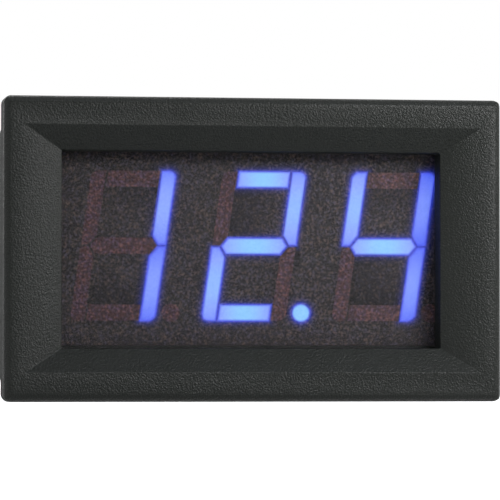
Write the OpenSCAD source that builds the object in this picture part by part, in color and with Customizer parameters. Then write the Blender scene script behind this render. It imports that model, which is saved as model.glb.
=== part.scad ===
// Snap-in digital panel meter with three leaning digits and a sloped bezel.
// X is width, Z is height and Y is depth. The face looks towards -Y.
// The origin is the middle of the panel plane, where the back of the flange meets the panel.
// All sizes are in millimetres.

/* [Reading] */
// Left digit
digit_left = 1; // [0:9]
// Middle digit
digit_middle = 2; // [0:9]
// Right digit
digit_right = 4; // [0:9]
// Digit whose decimal point is lit, 0 for none
lit_point = 2; // [0:3]

/* [Digits] */
// Distance from one digit to the next
digit_pitch = 12.7; // [12:0.1:15]
// Distance between the centres of a digit's left and right bars
digit_span = 6.78; // [5.8:0.02:7.4]
// Distance between the centres of a digit's top and bottom bars
digit_rise = 12.86; // [11:0.02:15]
// Width of the upright bars
upright_w = 1.4; // [1:0.05:1.7]
// Height of the level bars
level_h = 1.55; // [1.1:0.05:1.9]
// Dark gap between two bars
bar_gap = 0.2; // [0.1:0.05:0.35]
// Length of the pointed ends of the middle bar
tip_run = 0.55; // [0.4:0.05:0.8]
// Radius of the outer corners of the upright bars
bar_corner_r = 0.7; // [0.3:0.05:0.9]
// Lean of the digits to the right, in degrees
lean_deg = 8.4; // [0:0.2:12]
// Diameter of the decimal points
point_d = 1.75; // [1.2:0.05:2]
// Distance from a digit's right bar to its decimal point, centre to centre
point_reach = 2.14; // [1.9:0.02:2.3]

/* [Display] */
// How much each end of the display is cut back from a full digit pitch
display_trim = 0.25; // [0:0.05:0.4]
// Height of the display above the top bars, and below the bottom ones
display_margin = 2.32; // [1.8:0.02:3]
// Depth of the display housing
display_d = 8; // [7:0.1:10]
// Wall round the open back of the display housing
display_wall = 1; // [0.7:0.1:1.5]
// Depth of the clear resin in each bar, from the front
resin_d = 5.2; // [3:0.1:5.6]
// Thickness of the board that carries the light chips
chip_board_t = 0.8; // [0.5:0.1:1]
// Thickness of the potting that seals the back of the display
potting_t = 0.8; // [0.5:0.1:1]
// Side of a light chip
led_w = 0.35; // [0.2:0.05:0.6]
// Height of a light chip
led_h = 0.2; // [0.1:0.05:0.3]
// Height of the feet under the display
foot_h = 0.3; // [0.1:0.1:0.8]
// Diameter of the feet under the display
foot_d = 0.9; // [0.5:0.1:1]
// Sideways seat of the display from the middle of the window
display_shift_x = 0.6; // [-0.8:0.1:0.8]
// Upward seat of the display from the middle of the window
display_shift_z = 0.45; // [-0.6:0.05:0.6]

/* [Display pins] */
// Pins in each of the two rows
pins_per_row = 6; // [4:1:7]
// Distance from pin to pin
pin_pitch = 2.54; // [2:0.01:2.6]
// Distance from row to row
pin_row_gap = 15.24; // [14:0.02:15.6]
// Diameter of a pin
pin_d = 0.5; // [0.4:0.05:0.6]
// Room round a pin in its hole in the main board
pin_hole_room = 0.15; // [0.1:0.05:0.25]
// How far a pin stands out behind the main board
pin_stick_out = 1.2; // [1.1:0.1:2]
// Diameter of a solder joint at the board
solder_d = 1.9; // [1.5:0.1:2]
// Height of a solder joint
solder_h = 0.9; // [0.5:0.1:1]
// Diameter of a solder joint at its top
solder_top_d = 0.75; // [0.7:0.05:1]

/* [Bezel] */
// Thickness of the bezel in front of the panel
bezel_t = 3; // [2.6:0.1:4.5]
// How far the bezel stands past the sleeve on each side
bezel_overhang = 1.5; // [1.2:0.1:3]
// Radius of the bezel's corners
bezel_corner_r = 0.8; // [0.4:0.1:2]
// Rounding of the bezel's front edge
bezel_edge_r = 0.9; // [0.3:0.1:1.4]
// Flat rim at the left and right of the bezel
rim_side = 2.05; // [1.6:0.05:3]
// Flat rim at the top and bottom of the bezel
rim_top = 2.76; // [1.6:0.02:3.4]
// Depth of the slope that leads into the window
slope_d = 1.65; // [1:0.05:2]

/* [Window] */
// How far the display reaches past each end of the window
window_lap_x = 0.5; // [0:0.1:1]
// How far the display reaches past the top and the bottom of the window
window_lap_z = 0.12; // [0:0.02:0.6]
// Depth of the film behind the face
film_recess = 4.2; // [3.8:0.1:6]
// Thickness of the smoked film
film_t = 0.3; // [0.2:0.05:0.6]
// How far the film reaches past each end of the window
film_lap = 1.2; // [0.8:0.1:1.6]
// Thickness of the collar round the back of the window
collar_t = 1; // [0.6:0.1:1.2]

/* [Sleeve] */
// Wall of the sleeve
wall_t = 1.2; // [0.9:0.1:1.8]
// Room between each end of the display and the sleeve's wall
side_room = 2.5; // [2.2:0.1:4]
// Room above and below the display
top_room = 2.275; // [2.1:0.025:4]
// Depth of the open hollow behind the main board
rear_room = 7.6; // [6.6:0.1:12]
// Radius of the sleeve's corners
sleeve_corner_r = 1; // [0.4:0.1:1.5]
// Chamfer that leads the sleeve into the panel
lead_in = 0.5; // [0.2:0.1:0.8]

/* [Snap tongues] */
// Width of each tongue
tongue_w = 7; // [5:0.5:10]
// Width of the cut round a tongue
tongue_cut = 0.8; // [0.5:0.1:1.2]
// Distance from the panel plane to the cut
tongue_start = 1.3; // [1:0.1:1.8]
// Plain sleeve left behind a tongue's root
tongue_tail = 4; // [3:0.5:6]
// Height of each catch step on a tongue
step_h = 0.3; // [0.2:0.05:0.35]
// Length of each catch step
step_l = 0.8; // [0.5:0.1:1]
// Number of catch steps
step_count = 3; // [2:1:4]

/* [Board seats] */
// Height of the ledges in front of the main board
ledge_h = 1.2; // [0.8:0.1:1.4]
// Width of a ledge
ledge_w = 1.6; // [1:0.1:2.4]
// Distance of the ledges from the middle
ledge_x = 15; // [12:0.5:17]
// How far a hook reaches over the main board
hook_bite = 0.5; // [0.3:0.1:0.8]
// Width of a hook
hook_w = 4; // [2:0.5:5]
// Length of a hook's ramp
hook_l = 1.8; // [1:0.1:2.5]
// Distance of the hooks from the middle
hook_x = 7; // [5:0.5:9]

/* [Main board] */
// Thickness of the main board
board_t = 1.6; // [1:0.1:2]
// Room between the main board's edge and the sleeve's wall
board_room = 0.2; // [0.1:0.05:0.4]

/* [Controller] */
// Length of the controller's body
controller_l = 9.9; // [9.6:0.1:10.4]
// Width of the controller's body
controller_w = 3.9; // [3.4:0.1:4.4]
// Height of the controller's body
controller_h = 1.5; // [1.2:0.1:1.8]
// Legs along each side of the controller
controller_leg_count = 8; // [6:1:8]
// Distance from leg to leg
controller_pitch = 1.27; // [1.1:0.01:1.3]
// Place of the controller across the board
controller_x = 0.6; // [0:0.1:1]
// Place of the controller up the board
controller_z = 2.3; // [1.8:0.1:2.6]

/* [Small chips] */
// Length of the small resistors and ceramic capacitors
chip_l = 1.6; // [1.4:0.1:1.8]
// Width of the small resistors and ceramic capacitors
chip_w = 0.8; // [0.6:0.05:1]
// Height of the resistors
resistor_h = 0.45; // [0.35:0.05:0.6]
// Height of the ceramic capacitors
ceramic_h = 0.8; // [0.5:0.05:0.95]
// Length of the tinned ends
chip_end = 0.3; // [0.2:0.05:0.4]
// Resistors in the row below the controller
resistor_count = 8; // [6:1:8]
// Distance from resistor to resistor
resistor_pitch = 1.55; // [1.3:0.05:1.6]
// Place of the row of resistors up the board
resistor_z = -3.2; // [-3.8:0.1:-2.8]
// Length of a digit driver
driver_l = 2.9; // [2.6:0.1:3.1]
// Width of a digit driver's body
driver_w = 1.3; // [1.1:0.1:1.5]
// Height of a digit driver
driver_h = 1; // [0.8:0.1:1.2]

/* [Power parts] */
// Length of the voltage regulator's body
regulator_l = 4.5; // [4:0.1:4.8]
// Width of the voltage regulator's body
regulator_w = 2.5; // [2.2:0.1:2.8]
// Height of the voltage regulator
regulator_h = 1.5; // [1.2:0.1:1.8]
// Length of the protection diode's body
diode_l = 4.3; // [3.8:0.1:4.8]
// Width of the protection diode's body
diode_w = 2.6; // [2.2:0.1:2.8]
// Height of the protection diode
diode_h = 2.1; // [1.8:0.1:2.4]
// Diameter of the filter capacitor's can
can_d = 5; // [4:0.1:5.2]
// Height of the filter capacitor
can_h = 5.4; // [4.5:0.1:6]
// Thickness of the filter capacitor's base
can_base_h = 1; // [0.8:0.1:1.4]

/* [Trimmer] */
// Side of the trimmer's body
trimmer_w = 4.5; // [4.4:0.1:5]
// Height of the trimmer's body
trimmer_h = 2.6; // [2.4:0.1:3]
// Diameter of the rotor's slotted head
rotor_head_d = 2.6; // [2:0.1:2.7]
// Diameter of the rotor's hidden disc
rotor_disc_d = 3.4; // [3.2:0.1:3.5]
// Thickness of the rotor's hidden disc
rotor_disc_t = 0.6; // [0.4:0.1:0.8]
// Running clearance round the rotor
rotor_room = 0.06; // [0.03:0.01:0.1]
// Width of the screwdriver slot
slot_w = 0.5; // [0.4:0.05:0.8]
// Depth of the screwdriver slot
slot_d = 0.6; // [0.3:0.05:0.8]
// Distance of the trimmer's middle from the board's side edge
trimmer_in = 6.6; // [5.4:0.1:7.6]
// Distance of the trimmer's middle from the board's top edge
trimmer_down = 7; // [5.8:0.1:7.4]

/* [Wire socket] */
// Wires that the socket takes
wire_count = 3; // [2:1:3]
// Distance from wire to wire
wire_pitch = 2.5; // [2:0.1:2.5]
// Room from the outer contacts to the ends of the socket
socket_end = 2.45; // [2.2:0.05:2.6]
// Width of the socket
socket_w = 5.75; // [5:0.05:6]
// Height of the socket
socket_h = 6.4; // [5.5:0.1:6.6]
// Wall of the socket
socket_wall = 0.75; // [0.5:0.05:0.9]
// Floor of the socket
socket_floor = 1.4; // [1:0.1:2]
// Width of the two key slots in the socket's wall
key_w = 1.2; // [0.8:0.1:1.4]
// Thickness of a contact post
post_w = 0.6; // [0.5:0.05:0.7]
// Length of the tail that solders a contact to the board
tail_l = 1.4; // [1:0.1:1.8]
// Distance of the socket's middle from the board's side edge
socket_in = 6.7; // [6.2:0.1:7.3]
// Distance of the socket's middle from the board's bottom edge
socket_up = 7.2; // [6.8:0.1:7.4]

/* [Hidden] */
$fn = 48;

// Small overshoot that keeps cuts clean
over = 0.5;
// Steps along a rounded bar corner
arc_steps = 6;
// Which bars each figure from 0 to 9 lights
FIGURES = ["abcdef", "bc", "abdeg", "abcdg", "bcfg", "acdfg", "acdefg", "abc", "abcdefg", "abcdfg"];
BARS = ["a", "b", "c", "d", "e", "f", "g"];
reading = [digit_left, digit_middle, digit_right];
digit_count = len(reading);

// Digits, before they lean
half_span = digit_span / 2;
half_rise = digit_rise / 2;
upright_in = half_span - upright_w / 2;
upright_out = half_span + upright_w / 2;
level_half = level_h / 2;
digit_top = half_rise + level_half;
level_end = upright_in - bar_gap;
tip_reach = half_span - bar_gap;
tip_slope = tip_run / level_half;
// Where the bevel beside the middle bar would cross its centre line, one gap away from it
bevel_x = tip_reach + bar_gap * sqrt(1 + pow(tip_slope, 2));

// Sizes across, worked out from the display outwards
display_w = digit_count * digit_pitch - 2 * display_trim;
display_h = 2 * digit_top + 2 * display_margin;
window_w = display_w - 2 * window_lap_x;
window_h = display_h - 2 * window_lap_z;
hollow_w = display_w + 2 * side_room;
hollow_h = display_h + 2 * top_room;
sleeve_w = hollow_w + 2 * wall_t;
sleeve_h = hollow_h + 2 * wall_t;
bezel_w = sleeve_w + 2 * bezel_overhang;
bezel_h = sleeve_h + 2 * bezel_overhang;

// Depths, from the face backwards
face_y = -bezel_t;
slope_floor_y = face_y + slope_d;
hollow_y = slope_floor_y + wall_t;
film_y = face_y + film_recess;
display_y = film_y + film_t;
display_back_y = display_y + display_d;
potting_y = display_back_y - potting_t;
chip_board_y = potting_y - chip_board_t;
board_y = display_back_y + foot_h;
board_back_y = board_y + board_t;
sleeve_l = board_back_y + rear_room;

board_w = hollow_w - 2 * board_room;
board_h = hollow_h - 2 * board_room;
board_side = board_w / 2;
board_top = board_h / 2;
// Room for the film between the upper and the lower ledges, in all
film_room = 0.2;
film_w = window_w + 2 * film_lap;
film_h = hollow_h - 2 * ledge_h - film_room;
back_w = display_w - 2 * display_wall;
back_h = display_h - 2 * display_wall;
pin_hole_d = pin_d + 2 * pin_hole_room;
tongue_front_y = tongue_start + tongue_cut;
tongue_root_y = sleeve_l - tongue_tail;
hook_h = board_room + hook_bite;
// Play between a hook and the board behind it
hook_play = 0.05;

// Moulded chip bodies: their height off the board, the slope of their sides and the mark at the first leg
chip_stand = 0.1;
body_draft = 0.15;
dimple_d = 0.8;
dimple_deep = 0.1;

// Bent legs: strip thickness and width, how far they start inside the body, and their bend and toe beyond it
leg_t = 0.2;
leg_w = 0.4;
leg_bury = 0.3;
leg_knee = 0.35;
leg_toe = 1.05;

// Digit drivers, to the left of the controller
driver_leg_pitch = 1.9;
driver_gap = 1.5;
driver_spacing = 0.6;
driver_x = controller_x - controller_l / 2 - driver_gap - leg_toe - driver_w / 2;
driver_pitch = driver_l + driver_spacing;

// Regulator, placed from the board's top left corner
regulator_in = 6.6;
regulator_down = 4.7;
regulator_x = -board_side + regulator_in;
regulator_z = board_top - regulator_down;
regulator_leg_pitch = 1.5;
regulator_tab_w = 1.8;

// Diode, placed from the board's bottom left corner
diode_in = 6.3;
diode_up = 5.2;
diode_x = -board_side + diode_in;
diode_z = -board_top + diode_up;
strap_w = 1.5;
strap_fold = 1.1;

// Filter capacitor, placed from the board's left edge
can_in = 6.1;
can_x = -board_side + can_in;
can_z = 0.5;
can_base_rim = 0.15;
can_base_w = can_d + 2 * can_base_rim;
can_base_cut = 1;
can_seat_y = 0.7;
can_groove_y = 1.4;
can_groove = 0.25;
can_edge = 0.35;

// Flat solder tabs of the filter capacitor and the trimmer, with their reach outside and under the body
tab_t = 0.2;
tab_w = 0.7;
tab_out = 0.5;
tab_in = 1;

// Ceramic capacitors, to the right of the controller
ceramic_gap = 1.5;
ceramic_spacing = 0.8;
ceramic_x = controller_x + controller_l / 2 + ceramic_gap + chip_w / 2;
ceramic_pitch = chip_l + ceramic_spacing;

// Trimmer, placed from the board's top right corner
trimmer_x = board_side - trimmer_in;
trimmer_z = board_top - trimmer_down;
trimmer_tab_x = 1.3;
lid_t = 0.7;
rotor_disc_y = trimmer_h - lid_t - rotor_room - rotor_disc_t;

// Wire socket, placed from the board's bottom right corner
socket_x = board_side - socket_in;
socket_z = -board_top + socket_up;
socket_l = (wire_count - 1) * wire_pitch + 2 * socket_end;
tail_t = 0.3;
post_drop = 1.3;
post_tip = 0.15;
key_floor = 1.8;

// ---------- Shared shapes ----------

// Pushes an outline drawn in X and Z from one depth to another
module push(y_from, y_to) {
    translate([0, y_to, 0]) rotate([90, 0, 0]) linear_extrude(height = y_to - y_from) children();
}

// Runs an outline drawn in Y and Z along X, centred
module along_x(length) {
    rotate([90, 0, 90]) translate([0, 0, -length / 2]) linear_extrude(height = length) children();
}

// Runs an outline drawn in X and Y along Z, centred
module along_z(length) {
    translate([0, 0, -length / 2]) linear_extrude(height = length) children();
}

// Block centred in X and Z that starts at y = 0
module slab(w, t, h) {
    translate([-w / 2, 0, -h / 2]) cube([w, t, h]);
}

// Round bar along Y
module rod(d, y_from, y_to) {
    translate([0, y_from, 0]) rotate([-90, 0, 0]) cylinder(d = d, h = y_to - y_from);
}

module rounded_rect(w, h, r) {
    square([w - 2 * r, h], center = true);
    square([w, h - 2 * r], center = true);
    for (x = [-1, 1], y = [-1, 1])
        translate([x * (w / 2 - r), y * (h / 2 - r)]) circle(r = r);
}

// Outline of a plate seen from its edge, with its two front corners rounded
module round_front(w, y_from, y_to, r) {
    translate([-w / 2, y_from + r]) square([w, y_to - y_from - r]);
    translate([-w / 2 + r, y_from]) square([w - 2 * r, y_to - y_from]);
    for (x = [-1, 1])
        translate([x * (w / 2 - r), y_from + r]) circle(r = r);
}

// Outline that narrows from one width to another between two depths
function wedge(w_from, w_to, y_from, y_to) =
    [[-w_from / 2, y_from], [w_from / 2, y_from], [w_to / 2, y_to], [-w_to / 2, y_to]];

// The same outline with its axes swapped
function swap(points) = [for (p = points) [p[1], p[0]]];

// Block whose four sides slope, such as a funnel or a moulded chip body
module sloped_block(w_from, h_from, w_to, h_to, y_from, y_to) {
    intersection() {
        along_z(max(h_from, h_to)) polygon(wedge(w_from, w_to, y_from, y_to));
        along_x(max(w_from, w_to)) polygon(swap(wedge(h_from, h_to, y_from, y_to)));
    }
}

// Moulded chip body with drafted sides, standing just off the board
module chip_body(l, h, w) {
    sloped_block(l, w, l - 2 * body_draft, w - 2 * body_draft, chip_stand, h);
}

// Places a part on the back of the main board
module on_board(x, z) {
    translate([x, board_back_y, z]) children();
}

// ---------- Digits ----------

function leaned(points) = [for (p = points) [p[0] + tan(lean_deg) * p[1], p[1]]];

function flipped(points, x, z) = [for (p = points) [x * p[0], z * p[1]]];

function level_bar() = [
    [-level_end, half_rise - level_half],
    [level_end, half_rise - level_half],
    [level_end, half_rise + level_half],
    [-level_end, half_rise + level_half]
];

function middle_bar() = [
    [-tip_reach, 0],
    [-tip_reach + tip_run, -level_half],
    [tip_reach - tip_run, -level_half],
    [tip_reach, 0],
    [tip_reach - tip_run, level_half],
    [-tip_reach + tip_run, level_half]
];

// Upper right bar: bevelled beside the middle bar and rounded at its outer corner
function upright_bar() = concat(
    [
        [bevel_x - tip_slope * bar_gap / 2, bar_gap / 2],
        [upright_out, bar_gap / 2]
    ],
    [
        for (i = [0:arc_steps])
            [
                upright_out - bar_corner_r + bar_corner_r * cos(90 * i / arc_steps),
                digit_top - bar_corner_r + bar_corner_r * sin(90 * i / arc_steps)
            ]
    ],
    [
        [upright_in, digit_top],
        [upright_in, (bevel_x - upright_in) / tip_slope]
    ]
);

function bar_outline(bar) =
    bar == "a" ? level_bar() :
    bar == "b" ? upright_bar() :
    bar == "c" ? flipped(upright_bar(), 1, -1) :
    bar == "d" ? flipped(level_bar(), 1, -1) :
    bar == "e" ? flipped(upright_bar(), -1, -1) :
    bar == "f" ? flipped(upright_bar(), -1, 1) :
    middle_bar();

// Middle of a bar, before it leans
function bar_middle(bar) = [
    bar == "b" || bar == "c" ? half_span : bar == "e" || bar == "f" ? -half_span : 0,
    bar == "a" ? half_rise : bar == "d" ? -half_rise : bar == "g" ? 0 :
        bar == "b" || bar == "f" ? half_rise / 2 : -half_rise / 2
];

function digit_x(i) = display_shift_x + (i - (digit_count - 1) / 2) * digit_pitch;

function is_lit(i, bar) = len(search(bar, FIGURES[reading[i]])) > 0;

function point_x(i) = digit_x(i) + half_span + point_reach - tan(lean_deg) * half_rise;

module bar_solid(i, bar, y_from, y_to) {
    translate([digit_x(i), 0, display_shift_z]) push(y_from, y_to) polygon(leaned(bar_outline(bar)));
}

module point_solid(i, y_from, y_to) {
    translate([point_x(i), 0, display_shift_z - half_rise]) rod(point_d, y_from, y_to);
}

// All lit bars and points, or all dark ones
module bars(lit) {
    for (i = [0:digit_count - 1]) {
        for (bar = BARS)
            if (is_lit(i, bar) == lit) bar_solid(i, bar, display_y, display_y + resin_d);
        if ((lit_point == i + 1) == lit) point_solid(i, display_y, display_y + resin_d);
    }
}

module lit_bars() {
    color("#86a6ff") bars(true);
}

module dark_bars() {
    color("#4c3c40") bars(false);
}

// ---------- Display ----------

module display_place() {
    translate([display_shift_x, 0, display_shift_z]) children();
}

module at_pins() {
    for (row = [-1, 1], i = [0:pins_per_row - 1])
        display_place()
            translate([(i - (pins_per_row - 1) / 2) * pin_pitch, 0, row * pin_row_gap / 2]) children();
}

module at_feet() {
    for (x = [-1, 1], z = [-1, 1])
        display_place()
            translate([x * (display_w - display_wall) / 2, 0, z * (display_h - display_wall) / 2]) children();
}

module display_shell() {
    color("#3a3637") {
        difference() {
            display_place() translate([0, display_y, 0]) slab(display_w, display_d, display_h);
            display_place() translate([0, chip_board_y, 0]) slab(back_w, display_d, back_h);
            for (i = [0:digit_count - 1]) {
                for (bar = BARS)
                    bar_solid(i, bar, display_y - over, chip_board_y + over);
                point_solid(i, display_y - over, chip_board_y + over);
            }
        }
        at_feet() rod(foot_d, display_back_y - foot_h, board_y);
    }
}

// One light chip behind the middle of each bar and point
module led_chips() {
    color("#e8e2b0")
        for (i = [0:digit_count - 1]) {
            translate([point_x(i), 0, display_shift_z - half_rise]) led_chip();
            for (at = leaned([for (bar = BARS) bar_middle(bar)]))
                translate([digit_x(i) + at[0], 0, display_shift_z + at[1]]) led_chip();
        }
}

module led_chip() {
    translate([0, chip_board_y - led_h, 0]) slab(led_w, led_h, led_w);
}

module chip_board() {
    color("#d9d6c2") difference() {
        display_place() translate([0, chip_board_y, 0]) slab(back_w, chip_board_t, back_h);
        at_pins() rod(pin_d, chip_board_y - over, potting_y + over);
    }
}

module display_potting() {
    color("#cfc9b4") difference() {
        display_place() translate([0, potting_y, 0]) slab(back_w, potting_t, back_h);
        at_pins() rod(pin_d, potting_y - over, display_back_y + over);
    }
}

module display_pins() {
    color("#c8c8c8") at_pins() rod(pin_d, chip_board_y, board_back_y + pin_stick_out);
}

// ---------- Main board ----------

module main_board() {
    color("#1f6b3a") difference() {
        translate([0, board_y, 0]) slab(board_w, board_t, board_h);
        at_pins() rod(pin_hole_d, board_y - over, board_back_y + over);
    }
}

// Cone of solder round each display pin
module solder_joints() {
    color("#b9bcc0")
        at_pins() translate([0, board_back_y, 0]) rotate([-90, 0, 0]) difference() {
            cylinder(d1 = solder_d, d2 = solder_top_d, h = solder_h);
            translate([0, 0, -over]) cylinder(d = pin_d, h = solder_h + 2 * over);
        }
}

// ---------- Chips ----------

// Bent leg that leaves a body's side towards +Z; it starts inside the body
module gull_leg(width, rise, knee, toe) {
    along_x(width) polygon([
        [0, knee - leg_t / 2],
        [0, toe],
        [leg_t, toe],
        [leg_t, knee + leg_t / 2],
        [rise + leg_t / 2, knee + leg_t / 2],
        [rise + leg_t / 2, -leg_bury],
        [rise - leg_t / 2, -leg_bury],
        [rise - leg_t / 2, knee - leg_t / 2]
    ]);
}

// Evenly spaced legs along the +Z side of a body
module leg_row(count, pitch, width, body_w, rise) {
    for (i = [0:count - 1])
        translate([(i - (count - 1) / 2) * pitch, 0, body_w / 2]) gull_leg(width, rise, leg_knee, leg_toe);
}

module both_sides() {
    children();
    mirror([0, 0, 1]) children();
}

module controller_place() {
    on_board(controller_x, controller_z) children();
}

module controller_legs() {
    color("#c3c6c9") controller_place() both_sides()
        leg_row(controller_leg_count, controller_pitch, leg_w, controller_w, controller_h / 2);
}

module controller() {
    color("#1c1d1f") difference() {
        controller_place() chip_body(controller_l, controller_h, controller_w);
        controller_legs();
        controller_place()
            translate([controller_l / 2 - dimple_d, 0, -controller_w / 2 + dimple_d])
                rod(dimple_d, controller_h - dimple_deep, controller_h + over);
    }
}

// The three digit drivers stand upright in a column beside the controller
module driver_places() {
    for (i = [0:digit_count - 1])
        on_board(driver_x, controller_z + ((digit_count - 1) / 2 - i) * driver_pitch)
            rotate([0, 90, 0]) children();
}

module driver_legs() {
    color("#c3c6c9") driver_places() {
        leg_row(2, driver_leg_pitch, leg_w, driver_w, driver_h / 2);
        mirror([0, 0, 1]) leg_row(1, driver_leg_pitch, leg_w, driver_w, driver_h / 2);
    }
}

module drivers() {
    color("#202124") difference() {
        driver_places() chip_body(driver_l, driver_h, driver_w);
        driver_legs();
    }
}

module regulator_place() {
    on_board(regulator_x, regulator_z) children();
}

// Three flat legs on one side and a wide cooling tab on the other
module regulator_legs() {
    color("#c3c6c9") regulator_place() {
        for (i = [-1:1])
            translate([i * regulator_leg_pitch - leg_w / 2, 0, -regulator_w / 2 - leg_toe])
                cube([leg_w, leg_t, leg_toe + leg_bury]);
        translate([-regulator_tab_w / 2, 0, regulator_w / 2 - leg_bury])
            cube([regulator_tab_w, leg_t, leg_toe + leg_bury]);
    }
}

module regulator() {
    color("#1f2022") difference() {
        regulator_place() chip_body(regulator_l, regulator_h, regulator_w);
        regulator_legs();
    }
}

module diode_place() {
    on_board(diode_x, diode_z) children();
}

// Strap that leaves the diode's end at half height and folds under it
module diode_straps() {
    color("#c3c6c9") diode_place() for (turn = [90, -90])
        rotate([0, turn, 0]) translate([0, 0, diode_l / 2]) along_x(strap_w) polygon([
            [0, -strap_fold],
            [0, leg_knee + leg_t / 2],
            [diode_h / 2 + leg_t / 2, leg_knee + leg_t / 2],
            [diode_h / 2 + leg_t / 2, -leg_bury],
            [diode_h / 2 - leg_t / 2, -leg_bury],
            [diode_h / 2 - leg_t / 2, leg_knee - leg_t / 2],
            [leg_t, leg_knee - leg_t / 2],
            [leg_t, -strap_fold]
        ]);
}

module protection_diode() {
    color("#232427") difference() {
        diode_place() sloped_block(
            diode_l, diode_w, diode_l - 2 * body_draft, diode_w - 2 * body_draft,
            leg_t, diode_h
        );
        diode_straps();
    }
}

// ---------- Resistors and ceramic capacitors ----------

module resistor_places() {
    for (i = [0:resistor_count - 1])
        on_board(controller_x + (i - (resistor_count - 1) / 2) * resistor_pitch, resistor_z) children();
}

module ceramic_places() {
    for (i = [-1, 1])
        on_board(ceramic_x, controller_z + i * ceramic_pitch / 2) children();
}

module resistors() {
    color("#2a2a2c") resistor_places() slab(chip_w, resistor_h, chip_l - 2 * chip_end);
}

module ceramic_capacitors() {
    color("#b98f63") ceramic_places() slab(chip_w, ceramic_h, chip_l - 2 * chip_end);
}

module chip_ends(h) {
    for (z = [-1, 1])
        translate([0, 0, z * (chip_l - chip_end) / 2]) slab(chip_w, h, chip_end);
}

module tinned_ends() {
    color("#c9ccd0") {
        resistor_places() chip_ends(resistor_h);
        ceramic_places() chip_ends(ceramic_h);
    }
}

// ---------- Filter capacitor ----------

module can_place() {
    on_board(can_x, can_z) children();
}

module capacitor_tabs() {
    color("#c3c6c9") can_place() for (x = [-1, 1])
        translate([x * (can_base_w / 2 + (tab_out - tab_in) / 2), 0, 0]) slab(tab_out + tab_in, tab_t, tab_w);
}

// Square base with two corners cut off and a round seat for the can
module capacitor_base() {
    color("#1b1c1e") can_place() difference() {
        push(tab_t, can_base_h) polygon([
            [-can_base_w / 2, -can_base_w / 2],
            [can_base_w / 2 - can_base_cut, -can_base_w / 2],
            [can_base_w / 2, -can_base_w / 2 + can_base_cut],
            [can_base_w / 2, can_base_w / 2 - can_base_cut],
            [can_base_w / 2 - can_base_cut, can_base_w / 2],
            [-can_base_w / 2, can_base_w / 2]
        ]);
        rod(can_d, can_seat_y, can_base_h + over);
    }
}

// Drawn can with a rolled groove above its base and a turned-in top edge
module capacitor_can() {
    color("#b5b8bb") can_place() rotate([-90, 0, 0]) rotate_extrude() polygon([
        [0, can_seat_y],
        [can_d / 2, can_seat_y],
        [can_d / 2, can_groove_y - can_groove],
        [can_d / 2 - can_groove, can_groove_y],
        [can_d / 2, can_groove_y + can_groove],
        [can_d / 2, can_h - can_edge],
        [can_d / 2 - can_edge, can_h],
        [0, can_h]
    ]);
}

// ---------- Trimmer ----------

module trimmer_place() {
    on_board(trimmer_x, trimmer_z) children();
}

// Two tabs below and one above, all partly under the body
module trimmer_tabs() {
    color("#c3c6c9") trimmer_place() {
        for (x = [-1, 1])
            translate([x * trimmer_tab_x, 0, -trimmer_w / 2 + (tab_in - tab_out) / 2])
                slab(tab_w, tab_t, tab_in + tab_out);
        translate([0, 0, trimmer_w / 2 - (tab_in - tab_out) / 2]) slab(tab_w, tab_t, tab_in + tab_out);
    }
}

// The disc's chamber is wider than the mouth, so the rotor can't fall out
module trimmer_body() {
    color("#2f62a8") trimmer_place() difference() {
        translate([0, tab_t, 0]) slab(trimmer_w, trimmer_h - tab_t, trimmer_w);
        rod(rotor_disc_d + 2 * rotor_room, rotor_disc_y - rotor_room, trimmer_h - lid_t);
        rod(rotor_head_d + 2 * rotor_room, rotor_disc_y, trimmer_h + over);
    }
}

module trimmer_rotor() {
    color("#e9e6dc") trimmer_place() difference() {
        union() {
            rod(rotor_disc_d, rotor_disc_y, rotor_disc_y + rotor_disc_t);
            rod(rotor_head_d, rotor_disc_y, trimmer_h);
        }
        translate([0, trimmer_h - slot_d, 0]) slab(slot_w, slot_d + over, rotor_head_d + over);
    }
}

// ---------- Wire socket ----------

module socket_place() {
    on_board(socket_x, socket_z) children();
}

// Square posts whose tails run out along the board, below the socket
module socket_contacts() {
    color("#d0cdb8") socket_place() for (i = [0:wire_count - 1])
        translate([(i - (wire_count - 1) / 2) * wire_pitch, 0, 0]) along_x(post_w) polygon([
            [0, -socket_w / 2 - tail_l],
            [tail_t, -socket_w / 2 - tail_l],
            [tail_t, -post_w / 2],
            [socket_h - post_drop - post_tip, -post_w / 2],
            [socket_h - post_drop, -post_w / 2 + post_tip],
            [socket_h - post_drop, post_w / 2 - post_tip],
            [socket_h - post_drop - post_tip, post_w / 2],
            [0, post_w / 2]
        ]);
}

// Open box with two key slots in its lower wall
module wire_socket() {
    color("#ece7da") difference() {
        socket_place() difference() {
            slab(socket_l, socket_h, socket_w);
            translate([0, socket_floor, 0])
                slab(socket_l - 2 * socket_wall, socket_h, socket_w - 2 * socket_wall);
            for (x = [-1, 1])
                translate([x * (socket_l / 2 - socket_wall - key_w), key_floor, -socket_w / 2])
                    slab(key_w, socket_h, 2 * socket_wall + over);
        }
        socket_contacts();
    }
}

// ---------- Film ----------

module window_film() {
    color("#2a2426") translate([0, film_y, 0]) slab(film_w, film_t, film_h);
}

// ---------- Case ----------

module bezel_block() {
    intersection() {
        push(face_y, 0) rounded_rect(bezel_w, bezel_h, bezel_corner_r);
        along_z(bezel_h) round_front(bezel_w, face_y, 0, bezel_edge_r);
        along_x(bezel_w) swap_axes() round_front(bezel_h, face_y, 0, bezel_edge_r);
    }
}

// Turns an outline drawn in width and depth into one drawn in depth and height
module swap_axes() {
    rotate(90) mirror([0, 1]) children();
}

// Outline of the sleeve from one side, with its rear corners chamfered
function sleeve_side(w) = [
    [-w / 2, face_y / 2],
    [w / 2, face_y / 2],
    [w / 2, sleeve_l - lead_in],
    [w / 2 - lead_in, sleeve_l],
    [-w / 2 + lead_in, sleeve_l],
    [-w / 2, sleeve_l - lead_in]
];

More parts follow.
